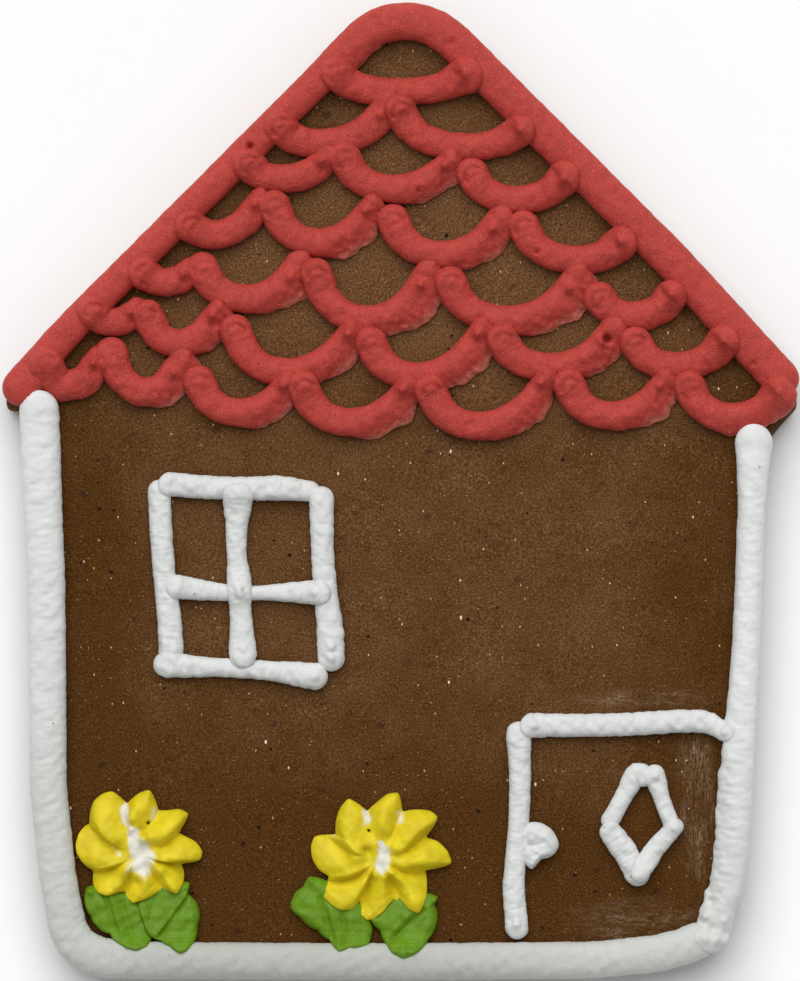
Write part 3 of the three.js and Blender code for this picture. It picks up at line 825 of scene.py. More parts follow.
def with_noses(line, half):
    """The middle line with a nose at each end, the direction to its right, and each ring's share of size."""
    tangent, right = directions_along(line)
    turn = np.linspace(0, np.pi / 2, NOSE_RINGS + 1)[1:] * NEARLY
    head = line[0] - tangent[0] * half[0] * np.sin(turn)[::-1, None]
    tail = line[-1] + tangent[-1] * half[-1] * np.sin(turn)[:, None]
    size = np.concatenate([np.cos(turn)[::-1], np.ones(len(line)), np.cos(turn)])[:, None]
    right = np.pad(right, ((NOSE_RINGS, NOSE_RINGS), (0, 0)), mode="edge")
    return np.concatenate([head, line, tail]), right, size


def climb_at(middle):
    """How far a rope is lifted by what it crosses, evened out along it."""
    return CLIMB * softened(np.maximum(ground_at(middle) - SOLE, 0), CLIMB_REACH / STEP)[:, None]


print(f"where two skins cross, the seam is {seamed(1.0, 1.0) - 1:.3f} mm higher than both")


# %% The rope as rings
class Rope:
    """A line of icing as rings, with each point's place along, across and up the line.

    P = middle + right * width * cos(a) for a turning round the line, and above the widest height it rises by
    (height - AXIS * height) * crown_of. The noses reach past the ends by half * sin(t) and shrink by cos(t).
    A skirt widens the right side and lowers its edge, as icing that was dragged along the biscuit.
    """

    def __init__(self, line, half, height, seed, feel, left=None, skirt=None, marks=(), seam=SEAM):
        """The half width, height and skirt have a value for each point of the line, all in mm."""
        self.middle, self.right, self.size = with_noses(line, half)
        self.along = padded(np.linspace(0, 1, len(line)))
        self.angle = np.linspace(0, 2 * np.pi, ROPE_AROUND, endpoint=False)[None]
        self.across, self.up = np.cos(self.angle), np.sin(self.angle)
        self.left = padded(half if left is None else left)
        self.half, self.height = padded(half), padded(height)
        self.skirt = padded(np.zeros(len(line)) if skirt is None else skirt * ragged(len(line), seed))
        self.shape_rings(seed, feel, len(line) * STEP, marks, seam)

    def shape_rings(self, seed, feel, length, marks, seam):
        """Works out the plan of the rings, then their heights."""
        upper = self.up >= 0
        skirted = np.where(self.across > 0, smoothstep(*SKIRT_RANGE, self.skirt), 0)
        low = skirted * np.abs(self.across) ** 0.5
        reach, outwards = self.reach_of_sides()
        spread = self.size * np.where(upper, 1.0, 1 - TUCK * (1 - low) * np.abs(self.up)) * reach
        rough = feel(self.plan_of(spread), length * self.along, self.angle, self.half, seed)
        plan = self.plan_of(spread * (1 + EDGE_FEEL * rough))

        climbed, older = climb_at(self.middle), ground_at(plan)
        axis = SOLE + climbed * (1 - LOW_CLIMB * low) + AXIS * self.height * (1 - LOW_AXIS * low)
        dome = crown_of(self.up, outwards, TENT_SHARE * skirted) * (1 + CROWN_FEEL * rough)
        crown = (SOLE + climbed + self.height - axis) * self.size * dome
        crown = crown + DRAGGED * low * upper * unevenness(plan, DRAGGED_SIZE, seed + 5)
        floor = np.clip(older, SOLE - SAG, axis - LEAST_KEEL) - EMBED
        keel = (axis - floor) * np.abs(self.up) ** KEEL_POWER * self.size
        z = np.where(upper, axis + crown, axis - keel) + upper * sum(mark(plan) for mark in marks)
        z = np.where(upper, seamed(z, older, seam), z)
        self.rings = np.concatenate([plan, z[..., None]], axis=-1)

    def reach_of_sides(self):
        """How far each point lies from the middle line, and the same as a share of the way out."""
        side = np.where(self.across > 0, self.half, self.left)
        lean = np.sign(self.across) * np.abs(self.across) ** FULLNESS
        reach = side * lean + self.skirt * np.maximum(self.across, 0) ** 2
        return reach, np.abs(reach) / (side + np.where(self.across > 0, self.skirt, 0))

    def plan_of(self, spread):
        """The (x, y) places of points at a spread to the right of the middle line."""
        return self.middle[:, None] + self.right[:, None] * spread[..., None]

    def upper_side(self):
        """The rings' points from one widest height over the crest to the other."""
        return self.rings[:, :ROPE_AROUND // 2 + 1]

    def film_on_skirt(self, skirt_range, up_range):
        """A film that grows with the skirt's width and fades up the rope's side."""
        film = smoothstep(*skirt_range, self.skirt) * smoothstep(*up_range, self.up)
        return film * (self.across > 0)

    def at_points(self, values):
        """Adds the values at the two poles, which are those of the rings beside them."""
        return np.concatenate([values.ravel(), values[[0, -1]].mean(axis=1)])


print("a ring of icing has", ROPE_AROUND, "points and a nose has", NOSE_RINGS, "rings")


# %% Marks on a rope
def lump(x, y, height, radius, sharpness=2.0):
    """A mark on a rope: a lump of height * exp(-(distance / radius) ^ sharpness), or a dent if below 0."""
    def mark(plan):
        distance = np.hypot(plan[..., 0] - x, plan[..., 1] - y)
        return height * np.exp(-((distance / radius) ** sharpness))
    return mark


def crease(x, y, depth, radius, towards, width=0.22):
    """A mark on a rope: a groove of depth * exp(-((distance - radius) / width) ^ 2) on one side of a spot."""
    def mark(plan):
        offset = np.stack([plan[..., 0] - x, plan[..., 1] - y], axis=-1)
        distance = np.linalg.norm(offset, axis=-1)
        facing = (offset @ np.asarray(towards)) / (np.linalg.norm(towards) * np.maximum(distance, 0.05))
        return -depth * np.exp(-(((distance - radius) / width) ** 2)) * smoothstep(-0.3, 0.4, facing)
    return mark


def lay_rope(name, rope, finish, slot, node, film=0.0, thin_and_shade=0.0):
    """Makes the piece and raises the ground to it."""
    raise_ground(rope.upper_side())
    shape = rope.rings.shape[:2]
    fields = {"film": np.broadcast_to(film, shape), "thin_and_shade": np.broadcast_to(thin_and_shade, shape)}
    fields = {field_name: rope.at_points(values) for field_name, values in fields.items()}
    return make_piece(name, skin_of(rope.rings), finish, slot, node, **fields)


print(f"a lump of 1 mm is {lump(0, 0, 1, 0.5)(np.array([0.5, 0])):.2f} mm high at its radius")

# %% [markdown]
# ## The gable line
# One thick red rope runs from the left eave over the ridge and down to the right eave. It was piped first, so
# all the roof tiles lie on its inner side.

# %% Piping the gable line
GABLE_HEIGHT = 3.1
gable = lengthened(curve_through(crest_of("gable_line", EAST)), 0.0, 0.5)
gable = nudged(gable, (0, 0.2, -0.6), (0.03, 0.1, -0.3), (0.08, 0, 0))
gable_half = stops(gable, (0, 2.4), (0.03, 2.1), (0.08, 1.95), (0.4, 1.95), (0.48, 2.35), (1, 2.4))
gable_inner = gable_half - stops(gable, (0.42, 0), (0.465, 0.4), (0.48, 0.3), (0.5, 0))
gable_skirt = stops(gable, (0.4, 0), (0.43, 0.45), (0.47, 0.4), (0.5, 0))
# Where air left a hole in the red icing, as (x, y, depth, radius).
PITS = [
    (-18.5, 43.0, -1.7, 0.36), (6.8, 56.0, -0.6, 0.4), (-3.2, 59.1, -0.5, 0.4), (17.3, 29.9, -1.0, 0.25),
    (44.3, 15.9, -0.7, 0.35), (2.5, 37.6, -0.9, 0.25), (26.0, 19.0, -2.6, 0.48), (19.5, 8.6, -0.4, 0.5),
]
pits = [lump(*pit) for pit in PITS]
gable_rope = Rope(
    gable, gable_inner, np.full(len(gable), GABLE_HEIGHT), seed=11, feel=GABLE_FEEL, skirt=gable_skirt,
    marks=pits, left=gable_half,
)
smeared = gable_rope.film_on_skirt((0.15, 0.4), (0.6, 0.1))
lay_rope("piped_gable", gable_rope, RED_ICING, "red_icing", "gable_line", film=smeared)
print(f"the gable line is {len(gable) * STEP:.0f} mm long")

# %% [markdown]
# ## The roof tiles
# Seven rows of scallops hang below each other. Each was piped from a fat round head, down steeply, along and
# up to a thinner tail, where the bag was pulled away and left a small peak. The tail's lower side was often
# dragged into a thin, paler skirt. The heads and tails of a row lie on the bottoms of the row above. The last
# tile of each row ends in a round blob on the gable line.

# %% The measures of the tiles
TILE_HEIGHT = 2.6
TILE_HALF = 1.78
# The half width of a tile along its length, in tile halves: its head and belly, and two kinds of tail.
HEAD_AND_BELLY = [(0, 1.16), (0.1, 1.14), (0.2, 1.04), (0.35, 1.0), (0.6, 0.94)]
THIN_TAIL, BLUNT_TAIL = [(0.75, 0.92), (0.9, 0.82), (1, 0.68)], [(0.75, 0.96), (0.9, 1.02), (1, 1.04)]
BLUNT_TAILS = ("tile_2_1", "tile_4_3", "tile_5_2", "tile_5_3", "tile_5_4", "tile_6_5", "tile_7_2")
BLOBS = [1.36, 1.15, 1.24, 1.22, 1.08, 1.2, 1.32]  # the same for the end of each row's last tile
HEAD_CREASE = 1.2  # mm from the start of a tile to the crease in its head
TAIL_TUCK = 0.8  # mm that a tail reaches under the head that was piped next
PEAK_BACK, BLUNT_PEAK_BACK, BLOB_PEAK_BACK = 0.35, 0.9, 0.1  # mm from where a tail shows back to its peak
# The marks on a tile, in mm: the range of their random heights, how far they stray, and their radius.
CREASE_DEPTHS, CREASE_STRAY = (0.4, 0.7), 0.3
DENT_DEPTHS, DENT_STRAY, DENT_RADIUS = (0.0, 0.3), 0.15, 0.5
PEAK_HEIGHTS, PEAK_STRAY, PEAK_RADIUS, PEAK_SHARPNESS = (1.0, 1.5), 0.12, 0.45, 1.3
# The notch beside a peak: the (x, y) step to it, and its (height, radius).
BLOB_NOTCH, TAIL_NOTCH = ((-0.7, 0.1), (-0.5, 0.5)), ((0.2, -0.9), (-0.3, 0.55))
TILE_SEAM = 0.35
BLOB_SEAM = 0.15  # a blob sits on the gable line without running into it
# How far a tail's lower side was dragged, in mm, for the tiles of each row.
SKIRTS = [
    [0.3],
    [0.4, 0.3],
    [0.5, 1.1, 0.4],
    [0.5, 1.4, 1.2, 0.5],
    [0.5, 1.3, 1.7, 1.4, 0.7],
    [0.4, 1.0, 1.2, 1.7, 0.9, 0.6],
    [0.6, 1.2, 1.2, 1.4, 1.2, 1.4, 0.8],
]
# Where along its tile a skirt starts, and how much of it is left at the end, for the tiles that differ.
SKIRT_START = {"tile_7_1": -0.2, "tile_7_7": 0.25}
SKIRT_END = {"tile_4_2": 0.3, "tile_4_3": 0.4, "tile_7_4": 0.3, "tile_7_5": 0.2}
USUAL_START, USUAL_END, BLOB_END = 0.42, 1.1, 0.3
# The paler hem on a tile's lower side in two steps down that side, and how strong it is by the skirt's width
# and along the tile.
UPPER_HEM, LOWER_HEM = (0.55, 0.95, 0.5), (0.45, 0.5, 0.1)
HEM_ON_SKIRT, HEM_ON_TAIL = (1, 0.3, 1.2), (0.3, 0.25, 0.6)
print("the widest skirt was dragged by", max(max(skirts) for skirts in SKIRTS), "mm")


# %% The parts of a tile
def tile_widths(line, row, place):
    """A fat head, an even belly and a thin or blunt tail, or for a row's last a blob on the gable line."""
    end = BLUNT_TAIL if f"tile_{row}_{place}" in BLUNT_TAILS else THIN_TAIL
    if place == row:
        end = [(0.8, 0.9), (0.9, 1.1), (1, BLOBS[row - 1])]
    return TILE_HALF * stops(line, *HEAD_AND_BELLY, *end)


def tile_skirt(line, node, is_last, dragged):
    """How far the lower side was dragged at each step along a tile, in mm."""
    start = SKIRT_START.get(node, USUAL_START)
    end = BLOB_END if is_last else SKIRT_END.get(node, USUAL_END)
    return dragged * stops(line, (start, 0), (start + 0.28, 0.85), (0.82, 1), (1, end))


def tile_marks(line, node, is_last, random):
    """A crease and a dent in the head, and a peak on the tail with a notch beside it."""
    tangent, _ = directions_along(line)
    head = line[0] + 0.5 * tangent[0]
    peak_back = TAIL_TUCK + (BLUNT_PEAK_BACK if node in BLUNT_TAILS else PEAK_BACK)
    tail = line[-1] - (BLOB_PEAK_BACK if is_last else peak_back) * tangent[-1]
    notch_step, notch = BLOB_NOTCH if is_last else TAIL_NOTCH

    def strayed(point, stray):
        """The point, moved at random."""
        return point + random.normal(0, stray, 2)

    return [
        crease(*head, random.uniform(*CREASE_DEPTHS), HEAD_CREASE, strayed(-tangent[0], CREASE_STRAY)),
        lump(*strayed(head, DENT_STRAY), -random.uniform(*DENT_DEPTHS), DENT_RADIUS),
        lump(*strayed(tail, PEAK_STRAY), random.uniform(*PEAK_HEIGHTS), PEAK_RADIUS, PEAK_SHARPNESS),
        lump(*(tail + notch_step), *notch),
    ]


def tile_film(rope):
    """A paler hem on the lower side, stronger where it was dragged and towards the tail."""
    hem = stepped(UPPER_HEM, rope.up) + stepped(LOWER_HEM, rope.up)
    return hem * (rope.across > 0) * (stepped(HEM_ON_SKIRT, rope.skirt) + stepped(HEM_ON_TAIL, rope.along))


print(f"an even tile is {2 * tile_widths(corner_turn, 7, 1).max():.1f} mm wide at its head")

# %% Piping the rows
HEAD_TUCK, BLOB_TUCK = 0.2, 0.1  # mm that a head and a blob reach on
# The height of a tile along its length, in tile heights, and that of its end.
ALONG_TILE, BLOB_END_HEIGHT, TAIL_END_HEIGHT = [(0, 1.08), (0.2, 1.0), (0.75, 0.96)], 1.25, 0.9
# Where the bag smeared the biscuit: mm back from a tail's end and beside its skirt, and how strongly per mm.
SMEAR_BACK, SMEAR_BESIDE, SMEAR_STRENGTH = 2.2, 1.6, 0.5
smears = []  # those places, as (x, y, strength)


def pipe_tile(row, place, seed):
    """Pipes one tile, and notes the smear beside its tail."""
    node = f"tile_{row}_{place}"
    random = np.random.default_rng(seed)
    is_last = place == row
    dragged = SKIRTS[row - 1][place - 1]
    line = lengthened(curve_through(crest_of(node, EAST)), HEAD_TUCK, BLOB_TUCK if is_last else TAIL_TUCK)
    height = TILE_HEIGHT * stops(line, *ALONG_TILE, (1, BLOB_END_HEIGHT if is_last else TAIL_END_HEIGHT))
    rope = Rope(
        line, tile_widths(line, row, place), height, seed, RED_FEEL,
        skirt=tile_skirt(line, node, is_last, dragged),
        marks=pits + tile_marks(line, node, is_last, random),
        seam=BLOB_SEAM if is_last else TILE_SEAM,
    )
    lay_rope(f"piped_{node}", rope, RED_ICING, "red_icing", node, film=tile_film(rope))
    if not is_last:
        tangent, right = directions_along(line)
        beside_tail = line[-1] - SMEAR_BACK * tangent[-1] + (SMEAR_BESIDE + dragged) * right[-1]
        smears.append((*beside_tail, SMEAR_STRENGTH * dragged))


for row, skirts in enumerate(SKIRTS, start=1):
    for place in range(1, len(skirts) + 1):
        pipe_tile(row, place, seed=100 + 10 * row + place)
print("piped", sum(len(skirts) for skirts in SKIRTS), "tiles")

# %% [markdown]
# ## The walls
# The left wall and the foot of the house are one thick white line, and the right wall is a second one. White
# icing was stiffer: its surface has small cross ripples from the hand's tremble. The right wall's inner side
# was dragged along the biscuit by a finger, and left a thin dirty film there.

# %% Piping the left wall and the foot
WALL_HEIGHT = 3.0
FOOT_ON = 1.0  # mm that the foot runs on into the right wall's end
left_wall = lengthened(curve_through(crest_of("wall_left_and_foot", SOUTH_EAST)), 0.0, FOOT_ON)
left_half = stops(left_wall, (0, 2.55), (0.12, 2.4), (0.22, 2.3), (1, 2.3))
left_inner = stops(left_wall, (0, 2.45), (0.1, 2.3), (0.42, 2.3), (0.48, 2.75), (0.54, 2.3), (1, 2.3))
# Painted shade: the left wall and the foot grey towards the foot, where the light falls off, partly thin
# icing there.
left_thin_and_shade = stops(
    left_wall, (0, 0.05), (0.25, 0.18), (0.32, 0.34), (0.45, 0.46), (0.55, 0.66), (0.8, 0.59), (0.9, 0.45),
    (1, 0.36),
)
left_rope = Rope(
    left_wall, left_half, np.full(len(left_wall), WALL_HEIGHT), seed=21, feel=WALL_FEEL, left=left_inner,
)
lay_rope(
    "piped_left_wall_and_foot", left_rope, WHITE_ICING, "white_icing", "wall_left_and_foot",
    thin_and_shade=padded(left_thin_and_shade),
)
print(f"the left wall and the foot are one line of {len(left_wall) * STEP:.0f} mm")

# %% Piping the right wall
# The crumbly spots where the right wall runs into the foot, as (x, y, height).
RIGHT_LUMPS = [
    (38.2, -53.0, 0.9), (37.4, -54.4, -0.8), (39.2, -54.6, -0.7), (38.2, -55.8, 0.8), (40.2, -57.0, -0.6),
    (40.6, -53.6, 0.5), (39.0, -51.2, -0.7), (36.8, -55.6, 0.7), (39.6, -55.8, 0.6), (37.4, -57.0, -0.5),
    (35.6, -56.6, -0.9), (36.2, -58.0, 0.6), (38.8, -58.4, -0.6), (34.9, -55.4, 0.6), (40.8, -55.2, -0.5),
]
LUMP_RADIUS = 0.5
WALL_SEAM = 1.0
right_wall = curve_through(crest_of("wall_right", SOUTH))
right_wall = nudged(right_wall, (0, -0.05, -0.25), (0.03, 0, 0), (0.06, 0, 0), (0.94, 0, 0), (1, 0.4, 0))
right_half = stops(
    right_wall, (0, 2.4), (0.04, 2.1), (0.12, 1.72), (0.4, 1.75), (0.6, 1.9), (0.9, 1.9), (1, 2.1),
)
right_skirt = stops(right_wall, (0.5, 0), (0.62, 0.4), (0.75, 0.8), (0.85, 0.65), (0.93, 0.5), (1, 0.3))
right_height = WALL_HEIGHT * stops(right_wall, (0, 0.9), (0.05, 1), (0.8, 1), (0.93, 0.85), (1, 0.7))
# Painted shade: the right wall greys towards the foot, where the light falls off.
right_thin_and_shade = stops(right_wall, (0, 0.05), (0.5, 0.0), (0.75, 0.14), (1, 0.3))
right_marks = [lump(x, y, rise, LUMP_RADIUS) for x, y, rise in RIGHT_LUMPS]
right_rope = Rope(
    right_wall, right_half, right_height, seed=22, feel=WALL_FEEL, skirt=right_skirt, marks=right_marks,
    seam=WALL_SEAM,
)
dirty = right_rope.film_on_skirt((0.3, 1.0), (0.5, 0.05))
lay_rope(
    "piped_right_wall", right_rope, WHITE_ICING, "white_icing", "wall_right",
    film=dirty, thin_and_shade=padded(right_thin_and_shade),
)
print(f"the right wall is a line of {len(right_wall) * STEP:.0f} mm")

# %% [markdown]
# ## Window and door
# These are short strokes of a finer white line. Each has a rounded start and end, swells where the hand
# slowed down, and crosses the strokes before it. Where the bag was lifted, a small nub is left.

# %% The strokes of the window and the door
TRIM_HEIGHT = 2.1
TRIM_HALF = 1.45
NUB = (0.4, 0.5, 4)  # how high and how wide a nub is, in mm, and how steep
# Painted shade that greys the finer strokes of the window, the door and the knob.
TRIM_THIN_AND_SHADE = 0.14
TRIM_SEAM = 0.9
DIAMOND_SEAM = 1.5  # the diamond's strokes were still wet and ran together
# The direction of each stroke, the stops of its width, where along it the nubs are, by how many mm it is
# carried on before and after, and if it bends at its end, the (x, y) step of that bend.
STROKES = {
    "window_jamb_left": (SOUTH, [(0, 1.0), (0.5, 0.96), (0.8, 1.04), (1, 1.1)], [], (0, 0)),
    "window_head": (EAST, [(0, 1.05), (0.5, 0.98), (0.75, 1.1), (1, 0.9)], [], (0.1, 0)),
    "window_jamb_right": (
        SOUTH, [(0, 1.08), (0.3, 0.98), (0.6, 1.02), (0.9, 1.2), (1, 1.15)], [0.93, 1.0], (0, 0),
    ),
    "window_sill": (EAST, [(0, 1.14), (0.3, 0.82), (0.7, 0.84), (1, 1.18)], [1.0], (0, 0)),
    "window_transom": (EAST, [(0, 1.06), (0.4, 0.66), (0.6, 0.62), (1, 1.1)], [0.97], (0, 0)),
    "window_mullion": (
        SOUTH, [(0, 1.34), (0.18, 0.94), (0.4, 0.84), (0.52, 1.1), (0.66, 1.0), (0.75, 0.92), (1, 1.22)],
        [0.58, 0.62, 0.97], (0, 0),
    ),
    "door_jamb": (SOUTH, [(0, 1.1), (0.1, 1.0), (0.5, 0.86), (1, 1)], [0.98], (0, 0)),
    "door_lintel": (EAST, [(0, 1.08), (0.12, 1.0), (0.85, 1), (1, 0.8)], [0.02, 1.0], (0, 0)),
    "diamond_upper_left": (
        NORTH_EAST, [(0, 0.8), (0.5, 0.76), (0.8, 0.95), (1, 1.06)], [], (0.2, 0.0), (0.7, -0.1),
    ),
    "diamond_upper_right": (SOUTH_EAST, [(0, 0.92), (0.2, 0.9), (0.4, 0.7), (1, 0.72)], [0.02], (0.1, 0.7)),
    "diamond_lower_left": (SOUTH_EAST, [(0, 0.94), (0.25, 1.1), (0.7, 1.04), (1, 1.12)], [], (0.0, 0)),
    "diamond_lower_right": (SOUTH_WEST, [(0, 0.72), (0.3, 0.8), (0.7, 0.92), (1, 0.8)], [], (0.3, 1.5)),
}
# Where a stroke strays from the crest that was laid out for it, as (share of its length, x, y) in mm.
NUDGES = {
    "door_lintel": [(0, 0, 0), (0.85, 0, 0), (1, -0.2, 0.45)],
    "diamond_lower_left": [(0, 0.3, -0.15), (0.5, 0.35, 0.3), (1, 0.2, 0.2)],
    "diamond_lower_right": [(0, 0, 0), (0.5, -0.25, 0.4), (1, -0.1, 0.3)],
}
MULLION_BEND = [(0, -0.3), (0.3, -0.55), (0.55, -0.15), (1, 0.3)]  # (share of the way down, mm eastwards)
thinnest = min(width for stroke in STROKES.values() for _, width in stroke[1])
print(f"the thinnest stroke is {2 * TRIM_HALF * thinnest:.1f} mm wide")

# %% Piping the window and the door
LEAST_HEIGHT = 0.4  # the share of its height that even the thinnest stroke would keep


def bent_crest(node):
    """The mullion rises over the transom, so it has no level crest: it runs down its box, slightly bent."""
    low, high = (np.array(corner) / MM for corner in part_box(node))
    middle, top, bottom = (low[0] + high[0]) / 2, high[1] - TRIM_HALF, low[1] + TRIM_HALF
    return np.array([(middle + east, top + share * (bottom - top)) for share, east in MULLION_BEND])


def pipe_stroke(node, heading, widths, nubs, carried, bend=None, *, seed):
    """Pipes one stroke of the table above: a wider stretch of it is also higher."""
    crest = bent_crest(node) if node == "window_mullion" else crest_of(node, heading)
    if bend:
        crest = np.concatenate([crest, [crest[-1] + bend]])
    line = lengthened(curve_through(crest), *carried)
    if node in NUDGES:
        line = nudged(line, *NUDGES[node])
    half = TRIM_HALF * stops(line, *widths)
    height = TRIM_HEIGHT * (LEAST_HEIGHT + (1 - LEAST_HEIGHT) * half / TRIM_HALF)
    marks = [lump(*line[int(nub * (len(line) - 1))], *NUB) for nub in nubs]
    seam = DIAMOND_SEAM if "diamond" in node else TRIM_SEAM
    rope = Rope(line, half, height, seed, TRIM_FEEL, marks=marks, seam=seam)
    lay_rope(f"piped_{node}", rope, WHITE_ICING, "white_icing", node, thin_and_shade=TRIM_THIN_AND_SHADE)


for number, (node, stroke) in enumerate(STROKES.items()):
    pipe_stroke(node, *stroke, seed=300 + 10 * number)
print("piped", len(STROKES), "strokes of the window and the door")

# %% [markdown]
# ## Mounds with a relief
# The door knob, the leaves and the flowers are short wide squeezes, too broad to be ropes. Such a shape is a
# mound: its outline is given as a distance from a middle for every bearing, and its surface as a height over
# that plan. Rings of the outline shrink towards the middle, so the mound is the same closed stack of rings as
# everything else. Its side wall stands on the sole, and the top edge is rounded over. A mound lies softly on
# what is below it, so it follows the ground only in the large.

# %% Outlines from corners
MOUND_AROUND = 420


def bearings():
    """Even bearings all round, clockwise, so that rings stacked from the sole up face outwards."""
    return -np.linspace(0, 2 * np.pi, MOUND_AROUND, endpoint=False)


def softened_round(values, softness):
    """A running average round a closed ring."""
    return softened(np.tile(values, 3), softness)[len(values):2 * len(values)]


def outline_through(corners, softness):
    """The reach for each bearing of a smooth closed outline near the given (x, y) corners."""
    corners = np.asarray(corners, float)
    bearing = np.arctan2(corners[:, 1], corners[:, 0])
    around = bearings()
    reach = np.interp(around, *in_order(bearing, np.hypot(*corners.T)), period=2 * np.pi)
    return softened_round(reach, softness)


oval = outline_through([(3, 0), (0, 2), (-3, 0), (0, -2)], softness=4)
print(f"an outline by corners 3 and 2 mm out reaches from {oval.min():.2f} to {oval.max():.2f} mm")

# %% Mounds
MOUND_RINGS = 64
WALL = 0.35  # the share of its height at which a mound is widest
UNDERCUT = 0.86  # the size of the sole, as a share of the outline
DRAPE = 1.3  # mm: the radius over which a mound evens out the ground below it
DISC_SHARES, DISC_AROUND = (0.35, 0.7, 1.0), 12  # the rings of spots on that disc, and the spots on each
MOUND_CLIMB = 0.85  # the share of that ground's height by which a mound is lifted
MOST_CLIMB = 1.6  # but not by more than this many times its own height
TINY = 0.02  # the turn at which the rings end, just before the pole
CROWDING = 0.8  # under 1, the rings crowd towards the rim
SOLE_SIZES = [0.3, UNDERCUT]  # the sizes of the two rings of the sole


def ground_in_the_large(plan):
    """The ground under the points, averaged over a disc."""
    turns = np.linspace(0, 2 * np.pi, DISC_AROUND, endpoint=False)
    circle = DRAPE * np.stack([np.cos(turns), np.sin(turns)], axis=1)
    return np.mean([ground_at(plan + share * spot) for share in DISC_SHARES for spot in circle], axis=0)


def mound_rings(centre, reach, height_at, fullness, climb=MOUND_CLIMB, seam=SEAM):
    """P = centre + s * reach, and over the sole z = height * (WALL + (1 - WALL) * (1 - s^fullness)^0.5)."""
    around = bearings()
    spokes = np.stack([np.cos(around), np.sin(around)], axis=-1) * reach[:, None]
    size = np.sin(np.linspace(np.pi / 2, TINY, MOUND_RINGS))[:, None, None] ** CROWDING
    plan = centre + size * spokes
    height = height_at(plan - centre, size[..., 0])
    rounding = np.maximum(1 - size[..., 0] ** fullness, 0) ** 0.5
    older = ground_at(plan)
    lifted = climb * np.clip(ground_in_the_large(plan) - SOLE, 0, MOST_CLIMB * height)
    top = SOLE + lifted + height * (WALL + (1 - WALL) * rounding)
    sole_plan = centre + np.array(SOLE_SIZES)[:, None, None] * spokes
    sole = np.full((2, MOUND_AROUND, 1), SOLE - EMBED)
    rings = np.concatenate([plan, seamed(top, older, seam)[..., None]], axis=-1)
    return np.concatenate([np.concatenate([sole_plan, sole], axis=-1), rings])


def lay_mound(name, rings, finish, slot, node, **fields):
    """Makes a mound a piece and raises the ground to it."""
    raise_ground(np.concatenate([rings[2:], rings[2:, :1]], axis=1))
    return make_piece(name, skin_of(rings), finish, slot, node, **fields)


print("a mound has", MOUND_RINGS, "rings of", MOUND_AROUND, "points over its sole")

# %% [markdown]
# ## The door knob
# The knob is one squeeze of the bag that curls over beside the door jamb: a broad round lobe above, a groove
# under it, and a smaller lobe that was drawn out to a tip.

# %% Grooves and ridges
LINE_POWER = 1.4  # how steeply a groove or a ridge falls off


def beside(offset, x0, y0, x1, y1):
    """The distance from each point to a stretch between two spots."""
    start, run = np.array([x0, y0]), np.array([x1 - x0, y1 - y0])
    share = np.clip((offset - start) @ run / (run @ run), 0, 1)[..., None]
    return np.linalg.norm(offset - start - share * run, axis=-1)


def lined(offset, lines):
    """The relief of grooves and ridges: rise * exp(-(distance to the line / width) ^ LINE_POWER)."""
    return sum(
        rise * np.exp(-((beside(offset, *ends) / width) ** LINE_POWER)) for *ends, rise, width in lines
    )


print("a ridge of 1 by 0.5 mm is", round(lined([0, 0.5], [(0, 0, 1, 0, 1, 0.5)]), 2), "mm high at its side")

# %% Piping the knob
KNOB_MIDDLE = np.array([17.46, -44.0])
KNOB_HEIGHT = 2.2
LOW_SHARE, LOW_FROM, LOW_TO = 0.6, -2.4, -0.6  # it is lower beside the jamb: its share, and where in mm
KNOB_CORNERS = [
    (-2.2, 2.2), (-0.6, 2.7), (1.1, 2.2), (2.2, 1.0), (2.6, -0.3), (1.9, -1.4), (0.4, -1.9), (-0.1, -2.5),
    (-0.8, -3.3), (-1.6, -2.6), (-2.4, -2.2), (-2.5, -0.3), (-2.4, 1.2),
]
# Its grooves and ridges as (x, y, x, y, height, width).
KNOB_LINES = [
    (-1.0, -0.3, 0.6, 0.1, -0.4, 0.5), (-0.4, 1.5, 1.3, 0.5, 0.3, 0.8), (0.6, -1.0, -0.8, -2.4, 0.3, 0.5),
    (-0.2, -1.3, -0.9, -1.6, -0.25, 0.35),
]


def knob_height(offset, _size):
    """The height of the knob: lower beside the jamb, with its lines and a slight unevenness."""
    rising = LOW_SHARE + (1 - LOW_SHARE) * smoothstep(LOW_FROM, LOW_TO, offset[..., 0])
    return KNOB_HEIGHT * rising + lined(offset, KNOB_LINES) + 0.05 * unevenness(offset, 1.2, seed=350)


def plain_fields(rings, thin_and_shade):
    """The fields of a mound without a film."""
    count = rings.shape[0] * rings.shape[1] + 2
    return {"film": np.zeros(count), "thin_and_shade": np.full(count, thin_and_shade)}


knob_outline = outline_through(KNOB_CORNERS, softness=4)
knob = mound_rings(KNOB_MIDDLE, knob_outline, knob_height, fullness=3, climb=0.0, seam=0.5)
lay_mound("piped_door_knob", knob, WHITE_ICING, "white_icing", "door_knob", **plain_fields(knob, TRIM_THIN_AND_SHADE))
print(f"the knob is {np.ptp(knob[..., 0]):.1f} by {np.ptp(knob[..., 1]):.1f} mm")

# %% [markdown]
# ## Leaves
# A leaf comes from a bag with a notched tip, which draws two lobes with a groove or a raised line between
# them, and it ends in a small nub where the bag was lifted. The leaves lie under the flowers, and their feet
# on the white foot line.

